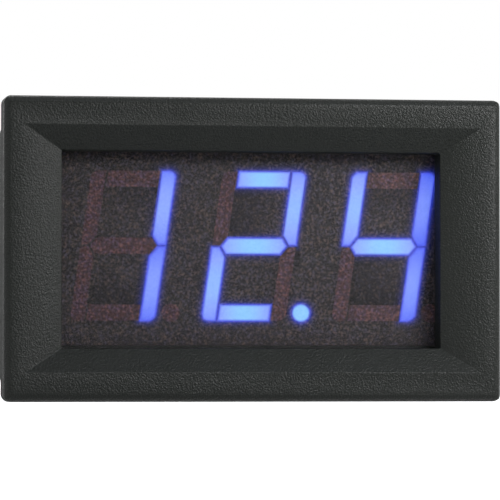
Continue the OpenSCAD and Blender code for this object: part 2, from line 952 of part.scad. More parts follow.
module sleeve_block() {
    intersection() {
        push(face_y / 2, sleeve_l) rounded_rect(sleeve_w, sleeve_h, sleeve_corner_r);
        along_z(sleeve_h) polygon(sleeve_side(sleeve_w));
        along_x(sleeve_w) polygon(swap(sleeve_side(sleeve_h)));
    }
}

// Open space inside the sleeve, from behind the slope to the back
module hollow() {
    translate([0, hollow_y, 0]) slab(hollow_w, sleeve_l - hollow_y + over, hollow_h);
}

// Collar round the back of the window, where the film rests
module collar() {
    translate([0, hollow_y - wall_t / 2, 0])
        slab(window_w + 2 * collar_t, film_y - hollow_y + wall_t / 2, window_h + 2 * collar_t);
}

// Slope from the rim down to the window, and the window itself
module window_cut() {
    slope_x = (bezel_w - window_w) / 2 - rim_side;
    slope_z = (bezel_h - window_h) / 2 - rim_top;
    grow = 1 + over / slope_d;
    sloped_block(
        window_w + 2 * slope_x * grow, window_h + 2 * slope_z * grow, window_w, window_h,
        face_y - over, slope_floor_y
    );
    translate([0, slope_floor_y - over, 0]) slab(window_w, film_y - slope_floor_y + 2 * over, window_h);
}

// Ledges in front of the main board, above and below
module ledges() {
    for (x = [-1, 1], z = [-1, 1])
        translate([x * ledge_x, hollow_y - wall_t / 2, z * (hollow_h / 2 + (wall_t / 2 - ledge_h) / 2)])
            slab(ledge_w, board_y - hollow_y + wall_t / 2, ledge_h + wall_t / 2);
}

// Ramped hooks behind the main board, above and below
module hooks() {
    for (x = [-1, 1])
        translate([x * hook_x, 0, 0]) both_sides() along_x(hook_w) polygon([
            [board_back_y + hook_play, hollow_h / 2 + wall_t / 2],
            [board_back_y + hook_play, hollow_h / 2 - hook_h],
            [board_back_y + hook_play + hook_l, hollow_h / 2],
            [board_back_y + hook_play + hook_l, hollow_h / 2 + wall_t / 2]
        ]);
}

// Stepped catch outside a snap tongue; each step suits a thicker panel
function catch_outline() = concat(
    [[sleeve_w / 2 - wall_t / 2, tongue_front_y]],
    [
        for (i = [1:step_count], end = [i - 1, i])
            [sleeve_w / 2 + i * step_h, tongue_front_y + end * step_l]
    ],
    [
        [sleeve_w / 2, tongue_root_y - tongue_cut],
        [sleeve_w / 2 - wall_t / 2, tongue_root_y - tongue_cut]
    ]
);

module both_ends() {
    children();
    mirror([1, 0, 0]) children();
}

module catches() {
    both_ends() along_z(tongue_w) polygon(catch_outline());
}

// U-shaped cut that frees a tongue on three sides, with round roots
module tongue_cuts() {
    cut_x = hollow_w / 2 - over;
    cut_t = wall_t + 2 * over;
    both_ends() {
        translate([cut_x, tongue_start, -tongue_w / 2 - tongue_cut])
            cube([cut_t, tongue_cut, tongue_w + 2 * tongue_cut]);
        both_sides() {
            translate([cut_x, tongue_start, tongue_w / 2])
                cube([cut_t, tongue_root_y - tongue_start, tongue_cut]);
            translate([cut_x, tongue_root_y, (tongue_w + tongue_cut) / 2])
                rotate([0, 90, 0]) cylinder(d = tongue_cut, h = cut_t);
        }
    }
}

// Bezel, sleeve, collar, ledges, hooks and snap tongues are one moulding
module case() {
    color("#34383a") difference() {
        union() {
            difference() {
                union() {
                    bezel_block();
                    sleeve_block();
                }
                hollow();
            }
            collar();
            ledges();
            hooks();
            catches();
        }
        window_cut();
        tongue_cuts();
    }
}

// ---------- The meter ----------

case();
window_film();
display_shell();
lit_bars();
dark_bars();
led_chips();
chip_board();
display_potting();
display_pins();
main_board();
solder_joints();
controller();
controller_legs();
drivers();
driver_legs();
regulator();
regulator_legs();
protection_diode();
diode_straps();
resistors();
ceramic_capacitors();
tinned_ends();
capacitor_base();
capacitor_can();
capacitor_tabs();
trimmer_body();
trimmer_rotor();
trimmer_tabs();
wire_socket();
socket_contacts();
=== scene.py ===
"""Snap-in digital panel meter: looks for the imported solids, in metres, face towards -Y."""

import math

import bmesh
import bpy
from mathutils import Matrix, Vector
from mathutils.geometry import delaunay_2d_cdt


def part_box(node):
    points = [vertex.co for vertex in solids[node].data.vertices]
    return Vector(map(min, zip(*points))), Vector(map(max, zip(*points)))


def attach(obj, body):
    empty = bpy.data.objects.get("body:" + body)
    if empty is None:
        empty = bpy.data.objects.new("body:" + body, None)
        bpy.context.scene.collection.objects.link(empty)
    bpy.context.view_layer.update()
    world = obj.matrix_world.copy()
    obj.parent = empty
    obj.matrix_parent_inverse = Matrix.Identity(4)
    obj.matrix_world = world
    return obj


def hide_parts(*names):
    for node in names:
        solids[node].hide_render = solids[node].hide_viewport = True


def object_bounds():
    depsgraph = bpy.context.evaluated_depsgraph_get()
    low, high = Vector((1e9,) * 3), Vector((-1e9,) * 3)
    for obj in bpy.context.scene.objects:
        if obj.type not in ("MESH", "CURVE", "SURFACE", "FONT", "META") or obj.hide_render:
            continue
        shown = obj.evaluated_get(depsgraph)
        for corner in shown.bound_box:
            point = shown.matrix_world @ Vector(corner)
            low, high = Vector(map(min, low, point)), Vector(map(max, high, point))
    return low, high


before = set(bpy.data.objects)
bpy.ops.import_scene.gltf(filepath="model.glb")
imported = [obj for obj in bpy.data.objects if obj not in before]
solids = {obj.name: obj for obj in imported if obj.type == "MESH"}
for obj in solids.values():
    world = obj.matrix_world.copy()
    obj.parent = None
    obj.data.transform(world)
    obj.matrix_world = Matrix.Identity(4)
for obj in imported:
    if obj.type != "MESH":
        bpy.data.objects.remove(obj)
cad_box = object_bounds()
MM = 0.001

# ---------- Case ----------
# The bezel, sleeve, snap tongues, ledges and hooks are one moulding in charcoal ABS.
# Spark-eroded tooling leaves a fine pebbled grain on it, and every edge comes out slightly soft.

CASE_EDGE = 0.09
CASE_DARK = (0.0030, 0.0037, 0.0030, 1)
CASE_LIGHT = (0.0095, 0.0110, 0.0094, 1)
CASE_WORN = (0.035, 0.038, 0.036, 1)


def step(tree, kind, inputs=None, **settings):
    """Adds one shader or geometry node; an input may be a value or another node's output."""
    made = tree.nodes.new(kind)
    for key, value in settings.items():
        setattr(made, key, value)
    for key, value in (inputs or {}).items():
        if isinstance(value, bpy.types.NodeSocket):
            tree.links.new(value, made.inputs[key])
        else:
            made.inputs[key].default_value = value
    return made


def first(tree, kind, inputs=None, **settings):
    """First output of a new node."""
    return step(tree, kind, inputs, **settings).outputs[0]


def calc(tree, operation, one, two=0.0, clamp=False):
    """Output of one Math node."""
    return first(tree, "ShaderNodeMath", {0: one, 1: two}, operation=operation, use_clamp=clamp)


def blend(tree, share, one, two, mode="MIX"):
    """Output of one colour Mix node."""
    return step(tree, "ShaderNodeMix", {0: share, 6: one, 7: two}, data_type="RGBA", blend_type=mode).outputs[2]


def object_place(tree):
    """A point's place on the object."""
    return step(tree, "ShaderNodeTexCoord").outputs["Object"]


def spread(tree, value, low, high, to_low=0.0, to_high=1.0):
    """A value stretched from one range to another, clamped."""
    return first(
        tree, "ShaderNodeMapRange", {0: value, 1: low, 2: high, 3: to_low, 4: to_high}, interpolation_type="SMOOTHSTEP"
    )


def effect(name, inputs, outputs):
    """An empty shader node group with named sockets, and its two ends."""
    group = bpy.data.node_groups.new(name, "ShaderNodeTree")
    for label, kind, value in inputs:
        group.interface.new_socket(label, in_out="INPUT", socket_type=kind).default_value = value
    for label, kind in outputs:
        group.interface.new_socket(label, in_out="OUTPUT", socket_type=kind)
    return group, group.nodes.new("NodeGroupInput"), group.nodes.new("NodeGroupOutput")


def use(tree, group, **values):
    """Places an effect in a material; underscores in a value's name stand for blanks."""
    made = tree.nodes.new("ShaderNodeGroup")
    made.node_tree = group
    for key, value in values.items():
        socket = made.inputs[key.replace("_", " ")]
        if isinstance(value, bpy.types.NodeSocket):
            tree.links.new(value, socket)
        else:
            socket.default_value = value
    return made


def finish(name, **plain):
    """A new material with its plain values on the shader; returns the material, its tree and its shader."""
    made = bpy.data.materials.new(name)
    made.use_nodes = True
    shader = made.node_tree.nodes["Principled BSDF"]
    for key, value in plain.items():
        shader.inputs[key.replace("_", " ")].default_value = value
    return made, made.node_tree, shader


def feed(tree, shader, **sockets):
    """Links outputs to a shader's sockets; underscores in a socket's name stand for blanks."""
    for key, value in sockets.items():
        tree.links.new(value, shader.inputs[key.replace("_", " ")])


def bump(tree, shader, height, depth):
    """Feeds a height through a Bump node of the given depth in mm to the shader."""
    made = first(tree, "ShaderNodeBump", {"Strength": 1.0, "Distance": depth * MM, "Height": height})
    feed(tree, shader, Normal=made)


def pebble_grain():
    """Fine moulded grain: small pebbles of uneven height with a little larger waviness."""
    group, start, end = effect(
        "pebble grain",
        [("Grain Size", "NodeSocketFloat", 0.25), ("Wave Size", "NodeSocketFloat", 6.0)],
        [("Height", "NodeSocketFloat"), ("Fleck", "NodeSocketFloat"), ("Wave", "NodeSocketFloat")],
    )
    place = object_place(group)
    per_mm = 1 / MM
    fine = calc(group, "DIVIDE", per_mm, start.outputs["Grain Size"])
    broad = calc(group, "DIVIDE", per_mm, start.outputs["Wave Size"])
    pebbles = step(group, "ShaderNodeTexVoronoi", {"Vector": place, "Scale": fine}, feature="SMOOTH_F1")
    pebbles.inputs["Smoothness"].default_value = 0.6
    pits = step(group, "ShaderNodeTexNoise", {"Vector": place, "Scale": fine, "Detail": 3.0, "Roughness": 0.65})
    wave = step(group, "ShaderNodeTexNoise", {"Vector": place, "Scale": broad, "Detail": 2.0})
    height = calc(group, "SUBTRACT", pits.outputs["Fac"], calc(group, "MULTIPLY", pebbles.outputs["Distance"], 0.5))
    group.links.new(height, end.inputs["Height"])
    group.links.new(spread(group, pits.outputs["Fac"], 0.36, 0.64), end.inputs["Fleck"])
    group.links.new(wave.outputs["Fac"], end.inputs["Wave"])
    return group


def soft_wear():
    """Mask of outer edges, where handling polishes a moulding; it is broken up by a noise."""
    group, start, end = effect(
        "soft wear",
        [("Width", "NodeSocketFloat", 0.15), ("Patch Size", "NodeSocketFloat", 2.0)],
        [("Edge", "NodeSocketFloat")],
    )
    width = calc(group, "MULTIPLY", start.outputs["Width"], MM)
    rounded = step(group, "ShaderNodeBevel", {"Radius": width}, samples=4)
    true_normal = step(group, "ShaderNodeNewGeometry").outputs["Normal"]
    facing = step(
        group, "ShaderNodeVectorMath", {0: rounded.outputs[0], 1: true_normal}, operation="DOT_PRODUCT"
    ).outputs["Value"]
    edge = spread(group, facing, 0.995, 0.90)
    place = object_place(group)
    patch = step(
        group,
        "ShaderNodeTexNoise",
        {"Vector": place, "Scale": calc(group, "DIVIDE", 1 / MM, start.outputs["Patch Size"]), "Detail": 4.0},
    )
    group.links.new(calc(group, "MULTIPLY", edge, patch.outputs["Fac"]), end.inputs["Edge"])
    return group


GRAIN = pebble_grain()
WEAR = soft_wear()
# Between which values each output of the grain mostly lies
GRAIN_RANGE = {"Fleck": (0, 1), "Wave": (0.3, 0.7)}


def grain_tone(tree, surface, fleck, wave):
    """Sum of the grain's fleck and wave by their shares."""
    flecks = calc(tree, "MULTIPLY", surface.outputs["Fleck"], fleck)
    return calc(tree, "ADD", flecks, calc(tree, "MULTIPLY", surface.outputs["Wave"], wave))


def roughness(tree, surface, follow, low, high):
    """A roughness that runs from one value to another with an output of the grain."""
    return spread(tree, surface.outputs[follow], *GRAIN_RANGE[follow], low, high)


def two_tone(name, dark, light, rough, grain, wave, depth, tone="Wave", height="Height", **plain):
    """A finish between two colours; rough gives the grain's output that it follows, and its two ends."""
    made, tree, shader = finish(name, **plain)
    surface = use(tree, GRAIN, Grain_Size=grain, Wave_Size=wave)
    feed(tree, shader, Base_Color=blend(tree, surface.outputs[tone], dark, light))
    feed(tree, shader, Roughness=roughness(tree, surface, *rough))
    bump(tree, shader, surface.outputs[height], depth)
    return made


def moulded(name, dark, light, rough, grain=0.25, depth=0.02, worn=(0.1, 0.1, 0.1, 1), **plain):
    """Moulded plastic: grained, flecked between two tones, paler along its handled edges, dull at a slant."""
    made, tree, shader = finish(name, **plain)
    surface = use(tree, GRAIN, Grain_Size=grain)
    edge = use(tree, WEAR).outputs["Edge"]
    body = blend(tree, grain_tone(tree, surface, 0.7, 0.3), dark, light)
    feed(tree, shader, Base_Color=blend(tree, calc(tree, "MULTIPLY", edge, 0.35), body, worn))
    matt = roughness(tree, surface, "Fleck", rough + 0.06, rough - 0.06)
    slant = step(tree, "ShaderNodeLayerWeight", {"Blend": 0.5}).outputs["Facing"]
    duller = calc(tree, "MULTIPLY", spread(tree, slant, 0.60, 0.95), 0.6)
    feed(tree, shader, Roughness=calc(tree, "ADD", matt, duller, clamp=True))
    bump(tree, shader, surface.outputs["Height"], depth)
    return made


# Points nearer than this are one point
TOUCH = 0.002 * MM


def merged(node):
    """Mesh of a CAD solid with its loose triangles joined into whole faces, ready to be worked on."""
    work = bmesh.new()
    work.from_mesh(solids[node].data)
    bmesh.ops.remove_doubles(work, verts=work.verts, dist=TOUCH)
    bmesh.ops.dissolve_limit(work, angle_limit=math.radians(0.6), verts=work.verts, edges=work.edges)
    return work


def soften(work, radius, rings=2, turn=28):
    """Rounds every edge that turns by more than the given angle, and keeps the form in its own box."""
    low = [min(v.co[axis] for v in work.verts) for axis in range(3)]
    high = [max(v.co[axis] for v in work.verts) for axis in range(3)]
    sharp = [e for e in work.edges if len(e.link_faces) == 2 and e.calc_face_angle(0) > math.radians(turn)]
    bmesh.ops.bevel(
        work, geom=sharp, offset=radius, offset_type="OFFSET", segments=rings, profile=0.5, affect="EDGES",
        clamp_overlap=False,
    )
    for v in work.verts:
        v.co = [min(h, max(l, c)) for l, c, h in zip(low, v.co, high)]


def put(work, piece, material, body="meter", instead_of=(), smooth=45):
    """Turns a worked mesh into a piece that rides on a body and may stand for CAD solids."""
    mesh = bpy.data.meshes.new(piece)
    work.to_mesh(mesh)
    work.free()
    mesh.materials.append(material)
    mesh.shade_smooth()
    mesh.set_sharp_from_angle(angle=math.radians(smooth))
    made = bpy.data.objects.new(piece, mesh)
    bpy.context.scene.collection.objects.link(made)
    made.modifiers.new("even shading", "WEIGHTED_NORMAL").keep_sharp = True
    if instead_of:
        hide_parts(*instead_of)
    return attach(made, body)


def softened(node, piece, material, radius, body="meter"):
    """A CAD solid with its edges rounded to a radius in mm, shown instead of the plain one."""
    work = merged(node)
    if radius:
        soften(work, radius * MM)
    return put(work, piece, material, body, [node])


CASE_PLASTIC = moulded(
    "case plastic", CASE_DARK, CASE_LIGHT, 0.30, grain=0.18, depth=0.065, worn=CASE_WORN, Specular_IOR_Level=0.150
)
softened("case", "moulded_case", CASE_PLASTIC, CASE_EDGE)

# ---------- Window film ----------
# A smoked acetate sheet with a matt front lies on the collar in front of the display.
# It hides the unlit bars almost wholly and lets the lit ones through.

FILM_DARK = (0.004, 0.003, 0.004, 1)
FILM_LIGHT = (0.020, 0.015, 0.018, 1)
# Opacity of each of its two faces
FILM_VEIL = 0.31
FILM_SLACK = 0.02


def film_mesh():
    """The film, a hair thinner at its back so that it doesn't share a plane with the display's front."""
    work = merged("window_film")
    back = max(v.co.y for v in work.verts)
    for v in work.verts:
        if v.co.y > back - FILM_SLACK * MM:
            v.co.y = back - FILM_SLACK * MM
    return work


# How much of the noise counts as specks
SPECK_FROM, SPECK_TO = 0.43, 0.70


def fine_specks():
    """Fine specks of a matt coat, some cooler and some warmer than the rest."""
    group, start, end = effect(
        "fine specks",
        [("Speck Size", "NodeSocketFloat", 0.2)],
        [("Speck", "NodeSocketFloat"), ("Tint", "NodeSocketColor")],
    )
    place = object_place(group)
    scale = calc(group, "DIVIDE", 1 / MM, start.outputs["Speck Size"])
    speck = step(group, "ShaderNodeTexNoise", {"Vector": place, "Scale": scale, "Detail": 2.0, "Roughness": 0.7})
    broad = calc(group, "MULTIPLY", scale, 0.7)
    hue = step(group, "ShaderNodeTexNoise", {"Vector": place, "Scale": broad, "Detail": 1.0})
    warmth = spread(group, hue.outputs["Fac"], 0.38, 0.62)
    group.links.new(spread(group, speck.outputs["Fac"], SPECK_FROM, SPECK_TO), end.inputs["Speck"])
    group.links.new(blend(group, warmth, (0.78, 0.86, 1.25, 1), (1.25, 1.05, 0.75, 1)), end.inputs["Tint"])
    return group


SPECKS = fine_specks()


def specked(tree, shader, dark, light, size, rough):
    """Gives a shader the colour and roughness of a specked matt coat; returns its specks."""
    coat = use(tree, SPECKS, Speck_Size=size)
    body = blend(tree, coat.outputs["Speck"], dark, light)
    feed(tree, shader, Base_Color=blend(tree, 1.0, body, coat.outputs["Tint"], "MULTIPLY"))
    feed(tree, shader, Roughness=spread(tree, coat.outputs["Speck"], 0, 1, rough + 0.06, rough - 0.06))
    return coat.outputs["Speck"]


def smoked_film():
    made, tree, shader = finish("smoked film", Alpha=FILM_VEIL, Specular_IOR_Level=0.42)
    bump(tree, shader, specked(tree, shader, FILM_DARK, FILM_LIGHT, 0.20, 0.40), 0.04)
    return made


put(film_mesh(), "smoked_film", smoked_film(), instead_of=["window_film"])

# ---------- Display housing ----------
# The display is a dark moulded block with a well for each bar; its front is printed matt black.
# Light from the lit bars spills a little over the edges of their wells.

HOUSING_DARK = (0.001, 0.0008, 0.0009, 1)
HOUSING_LIGHT = (0.152, 0.117, 0.127, 1)
SPILL_REACH = 0.18
SPILL_RINGS = (0.06, 0.14, 0.24, 0.38, 0.60, 0.95)
# What the film lets through of the light behind it
FILM_PASSES = (1 - FILM_VEIL) ** 2
# Share of full spill, and its colour there
SPILL_STEPS = (
    (0.00, (0.0, 0.0, 0.0, 1)),
    (0.33, (0.004, 0.012, 0.165, 1)),
    (0.57, (0.020, 0.040, 0.40, 1)),
    (1.00, (0.060, 0.090, 0.80, 1)),
)


def islands(work):
    """The separate bodies in a mesh, as lists of faces."""
    left, found = set(work.faces), []
    while left:
        group, queue = [], [left.pop()]
        while queue:
            face = queue.pop()
            group.append(face)
            for edge in face.edges:
                for other in edge.link_faces:
                    if other in left:
                        left.remove(other)
                        queue.append(other)
        found.append(group)
    return found


def front_outlines(node):
    """Front outline of every bar of a node, in mm across and up, anticlockwise."""
    work = merged(node)
    found = []
    for group in islands(work):
        front = min(group, key=lambda face: face.calc_center_median().y)
        ring = [(v.co.x / MM, v.co.z / MM) for v in front.verts]
        area = sum(a[0] * b[1] - b[0] * a[1] for a, b in zip(ring, ring[1:] + ring[:1]))
        found.append(ring if area > 0 else ring[::-1])
    work.free()
    return found


LIT, DARK = front_outlines("lit_bars"), front_outlines("dark_bars")


def edge_distance(ring, x, z):
    """Distance from a point to an outline."""
    best = 1e9
    for a, b in zip(ring, ring[1:] + ring[:1]):
        dx, dz = b[0] - a[0], b[1] - a[1]
        t = ((x - a[0]) * dx + (z - a[1]) * dz) / (dx * dx + dz * dz)
        t = min(1.0, max(0.0, t))
        best = min(best, math.hypot(x - a[0] - t * dx, z - a[1] - t * dz))
    return best


def inside(ring, x, z):
    """True where a point lies in an outline."""
    odd = False
    for a, b in zip(ring, ring[1:] + ring[:1]):
        if (a[1] > z) != (b[1] > z) and x < (b[0] - a[0]) * (z - a[1]) / (b[1] - a[1]) + a[0]:
            odd = not odd
    return odd


def grown(ring, by):
    """An outline moved outwards, with its corners kept."""
    made = []
    for before, here, after in zip(ring[-1:] + ring[:-1], ring, ring[1:] + ring[:1]):
        into = Vector((here[1] - before[1], before[0] - here[0])).normalized()
        out_of = Vector((after[1] - here[1], here[0] - after[0])).normalized()
        middle = (into + out_of).normalized()
        reach = by / max(0.5, middle.dot(into))
        made.append((here[0] + middle.x * reach, here[1] + middle.y * reach))
    return made


def meet_wells(work, spots, face_y):
    """Splits the open edges of the wells wherever a point of the new front lies on one."""
    for p in spots:
        place = Vector((p.x * MM, face_y, p.y * MM))
        for edge in [e for e in work.edges if len(e.link_faces) == 1]:
            a, b = (v.co for v in edge.verts)
            share = (place - a).dot(b - a) / (b - a).length_squared
            near = (a + (b - a) * share - place).length < TOUCH
            if near and 0 < share < 1 and min((place - a).length, (place - b).length) > TOUCH:
                _, made = bmesh.utils.edge_split(edge, edge.verts[0], share)
                made.co = place
                break


def housing_mesh():
    """The housing with its front face cut into rings round the lit wells, and a spill value at each corner."""
    work = merged("display_shell")
    face_y = min(v.co.y for v in work.verts)
    flat = [f for f in work.faces if f.normal.y < -0.99 and abs(f.calc_center_median().y - face_y) < 0.01 * MM]
    bmesh.ops.delete(work, geom=flat, context="FACES_ONLY")
    low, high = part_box("display_shell")
    low, high = low / MM, high / MM
    frame_ring = [(low.x, low.z), (high.x, low.z), (high.x, high.z), (low.x, high.z)]
    rings = [grown(ring, by) for ring in LIT for by in SPILL_RINGS]
    rings = [[(min(high.x, max(low.x, x)), min(high.z, max(low.z, z))) for x, z in ring] for ring in rings]
    points, edges = [], []
    for ring in [frame_ring] + LIT + DARK + rings:
        start = len(points)
        points += [Vector(p) for p in ring]
        edges += [(start + i, start + (i + 1) % len(ring)) for i in range(len(ring))]
    spots, _, patches, *_ = delaunay_2d_cdt(points, edges, [], 0, 1e-4)
    spill = work.verts.layers.float.new("spill")
    meet_wells(work, spots, face_y)
    corners = [work.verts.new((p.x * MM, face_y, p.y * MM)) for p in spots]
    for corner, p in zip(corners, spots):
        near = min(edge_distance(ring, p.x, p.y) for ring in LIT)
        corner[spill] = math.exp(-near / SPILL_REACH)
    for patch in patches:
        x = sum(spots[i].x for i in patch) / 3
        z = sum(spots[i].y for i in patch) / 3
        if not any(inside(ring, x, z) for ring in LIT + DARK):
            face = work.faces.new([corners[i] for i in patch])
            face.normal_update()
            if face.normal.y > 0:
                face.normal_flip()
    bmesh.ops.remove_doubles(work, verts=work.verts, dist=TOUCH)
    bmesh.ops.delete(work, geom=[e for e in work.edges if not e.link_faces], context="EDGES")
    bmesh.ops.delete(work, geom=[v for v in work.verts if not v.link_faces], context="VERTS")
    return work


def ramp(tree, share, stops):
    """Colour of a ramp with the given stops."""
    made = step(tree, "ShaderNodeValToRGB", {0: share})
    points = made.color_ramp.elements
    points[0].position, points[0].color = stops[0]
    points[1].position, points[1].color = stops[-1]
    for at, colour in stops[1:-1]:
        points.new(at).color = colour
    return made.outputs[0]


def housing_plastic():
    made, tree, shader = finish("housing plastic", Emission_Strength=1 / FILM_PASSES, Specular_IOR_Level=0.3)
    speck = specked(tree, shader, HOUSING_DARK, HOUSING_LIGHT, 0.24, 0.7)
    spill = step(tree, "ShaderNodeAttribute", attribute_name="spill").outputs["Fac"]
    feed(tree, shader, Emission_Color=ramp(tree, spill, SPILL_STEPS))
    bump(tree, shader, speck, 0.01)
    return made


put(housing_mesh(), "display_housing", housing_plastic(), instead_of=["display_shell"])

# ---------- Resin bars ----------
# Each well is filled with clear resin flush with the housing's front. A light chip behind its middle
# makes the bar brightest there; the resin's rim is deep blue. Unlit bars show a dull reddish grey.

RIM_W = 0.20
RIM_BLUE = (0.052, 0.070, 0.76, 1)
END_FADE = 0.45
# Share of full brightness of each lit bar, from left to right, then from the top down
BAR_POWER = {"upright": (0.68, 0.52, 0.84, 0.84, 0.84, 0.50, 0.42), "level": 1.0}
RESIN_UNLIT = ((0.052, 0.012, 0.020, 1), (0.285, 0.135, 0.180, 1))
LIGHT_STEPS = (
    (0.00, (0.065, 0.120, 0.86, 1)),
    (0.30, (0.135, 0.210, 0.92, 1)),
    (0.66, (0.230, 0.350, 0.94, 1)),
    (0.85, (0.245, 0.445, 0.93, 1)),
    (1.00, (0.235, 0.545, 0.91, 1)),
)


def bar_mesh(node):
    """The bars of a node, with an inset rim and each point's place in its bar: along, rim, upright or level."""
    work = merged(node)
    place = work.verts.layers.float_vector.new("in_bar")
    for group in islands(work):
        verts = {v for face in group for v in face.verts}
        front_y = min(v.co.y for v in verts)
        front = [f for f in group if f.normal.y < -0.99 and abs(f.calc_center_median().y - front_y) < 0.01 * MM]
        xs = [v.co.x for v in verts]
        zs = [v.co.z for v in verts]
        wide, tall = max(xs) - min(xs), max(zs) - min(zs)
        kind = 2 if max(wide, tall) < 2.2 * MM else 1 if tall > wide * 1.5 else 0
        middle = (max(zs) + min(zs)) / 2 if kind == 1 else (max(xs) + min(xs)) / 2
        half = (tall if kind == 1 else wide) / 2
        for v in verts:
            along = ((v.co.z if kind == 1 else v.co.x) - middle) / half
            v[place] = (along, 0, kind)
        bmesh.ops.inset_region(work, faces=front, thickness=RIM_W * MM, use_even_offset=True, use_boundary=True)
        for face in front:
            for v in face.verts:
                along = ((v.co.z if kind == 1 else v.co.x) - middle) / half
                v[place] = (along, 1, kind)
    return work


def lit_resin():
    made, tree, shader = finish("lit resin", Emission_Strength=1 / FILM_PASSES, Roughness=0.3)
    place = step(tree, "ShaderNodeAttribute", attribute_name="in_bar").outputs["Vector"]
    parts = step(tree, "ShaderNodeSeparateXYZ", {0: place})
    along, rim, kind = parts.outputs[0], parts.outputs[1], parts.outputs[2]
    full = step(tree, "ShaderNodeAttribute", attribute_name="power").outputs["Fac"]
    fade = calc(tree, "MULTIPLY", calc(tree, "MULTIPLY", along, along), END_FADE)
    fade = calc(tree, "MULTIPLY", fade, calc(tree, "LESS_THAN", kind, 1.5))
    heat = calc(tree, "SUBTRACT", full, fade, clamp=True)
    surface = use(tree, GRAIN, Grain_Size=0.2)
    cloudy = spread(tree, surface.outputs["Fleck"], 0, 1, 0.97, 1.03)
    glow = blend(tree, 1.0, ramp(tree, heat, LIGHT_STEPS), cloudy, "MULTIPLY")
    feed(tree, shader, Emission_Color=blend(tree, rim, RIM_BLUE, glow))
    body = blend(tree, surface.outputs["Fleck"], (0.03, 0.04, 0.10, 1), (0.05, 0.06, 0.14, 1))
    feed(tree, shader, Base_Color=body)
    bump(tree, shader, surface.outputs["Height"], 0.01)
    return made


def unlit_resin():
    made, tree, shader = finish("unlit resin", Specular_IOR_Level=0.3)
    bump(tree, shader, specked(tree, shader, *RESIN_UNLIT, 0.24, 0.45), 0.01)
    return made


def set_power(work):
    """Gives every lit bar its share of full brightness."""
    power = work.verts.layers.float.new("power")
    place = work.verts.layers.float_vector["in_bar"]
    bars = []
    for group in islands(work):
        verts = {v for face in group for v in face.verts}
        middle = sum((v.co for v in verts), Vector()) / len(verts)
        bars.append((verts, middle, max(v[place].z for v in verts)))
    uprights = sorted((b for b in bars if b[2] == 1), key=lambda b: (round(b[1].x / (3 * MM)), -b[1].z))
    for verts, _, _ in bars:
        for v in verts:
            v[power] = BAR_POWER["level"]
    for (verts, _, _), share in zip(uprights, BAR_POWER["upright"]):
        for v in verts:
            v[power] = share
    return work


put(set_power(bar_mesh("lit_bars")), "lit_resin_bars", lit_resin(), instead_of=["lit_bars"])
put(bar_mesh("dark_bars"), "unlit_resin_bars", unlit_resin(), instead_of=["dark_bars"])

# ---------- Light chips and their board ----------
# A blue chip sits behind the middle of every bar, bonded to a thin yellowish glass-epoxy board.
# The board closes the display from behind; its twelve pins pass through it.


def woven_glass():
    """Weave of a glass-epoxy board as a height, and the layers seen on its sawn edges."""
    group, start, end = effect(
        "woven glass",
        [("Pitch", "NodeSocketFloat", 0.5), ("Layer", "NodeSocketFloat", 0.22)],
        [("Weave", "NodeSocketFloat"), ("Layers", "NodeSocketFloat"), ("Face", "NodeSocketFloat")],
    )
    place = object_place(group)
    parts = step(group, "ShaderNodeSeparateXYZ", {0: place}).outputs
    turns = calc(group, "DIVIDE", 2 * math.pi / MM, start.outputs["Pitch"])
    across = calc(group, "SINE", calc(group, "MULTIPLY", parts[0], turns))
    along = calc(group, "SINE", calc(group, "MULTIPLY", parts[2], turns))
    weave = calc(group, "ADD", calc(group, "MULTIPLY", calc(group, "MULTIPLY", across, along), 0.5), 0.5)
    uneven = step(group, "ShaderNodeTexNoise", {"Vector": place, "Scale": 0.8 / MM, "Detail": 3.0}).outputs["Fac"]
    depth = calc(group, "ADD", parts[1], calc(group, "MULTIPLY", uneven, 0.08 * MM))
    layers = calc(group, "DIVIDE", 2 * math.pi / MM, start.outputs["Layer"])
    rhythm = calc(group, "SINE", calc(group, "MULTIPLY", depth, layers))
    normal = step(group, "ShaderNodeNewGeometry").outputs["True Normal"]
    toward = calc(group, "ABSOLUTE", step(group, "ShaderNodeSeparateXYZ", {0: normal}).outputs[1])
    group.links.new(calc(group, "MULTIPLY", weave, uneven), end.inputs["Weave"])
    group.links.new(calc(group, "ADD", calc(group, "MULTIPLY", rhythm, 0.5), 0.5), end.inputs["Layers"])
    group.links.new(calc(group, "GREATER_THAN", toward, 0.8), end.inputs["Face"])
    return group


GLASS_CLOTH = woven_glass()
EDGE_DARK = (0.150, 0.120, 0.045, 1)
EDGE_LIGHT = (0.300, 0.255, 0.130, 1)


def laminate(name, dark, light, rough, depth, **plain):
    """Coated glass-epoxy board: its colour on both faces and bare layered cloth on its edges."""
    made, tree, shader = finish(name, **plain)
    cloth = use(tree, GLASS_CLOTH)
    surface = use(tree, GRAIN, Grain_Size=0.45, Wave_Size=5.0)
    tone = calc(tree, "MULTIPLY", cloth.outputs["Weave"], 0.5)
    tone = calc(tree, "ADD", tone, calc(tree, "MULTIPLY", surface.outputs["Wave"], 0.6), clamp=True)
    face = blend(tree, tone, dark, light)
    edge = blend(tree, cloth.outputs["Layers"], EDGE_DARK, EDGE_LIGHT)
    edge = blend(tree, calc(tree, "MULTIPLY", surface.outputs["Fleck"], 0.4), edge, (0.10, 0.08, 0.04, 1))
    on_face = cloth.outputs["Face"]
    feed(tree, shader, Base_Color=blend(tree, on_face, edge, face))
    smooth = roughness(tree, surface, "Wave", rough - 0.05, rough + 0.08)
    sawn = calc(tree, "MULTIPLY", calc(tree, "SUBTRACT", 1.0, on_face), 0.4)
    feed(tree, shader, Roughness=calc(tree, "ADD", smooth, sawn, clamp=True))
    height = calc(tree, "ADD", cloth.outputs["Weave"], calc(tree, "MULTIPLY", surface.outputs["Height"], 0.3))
    bump(tree, shader, height, depth)
    return made


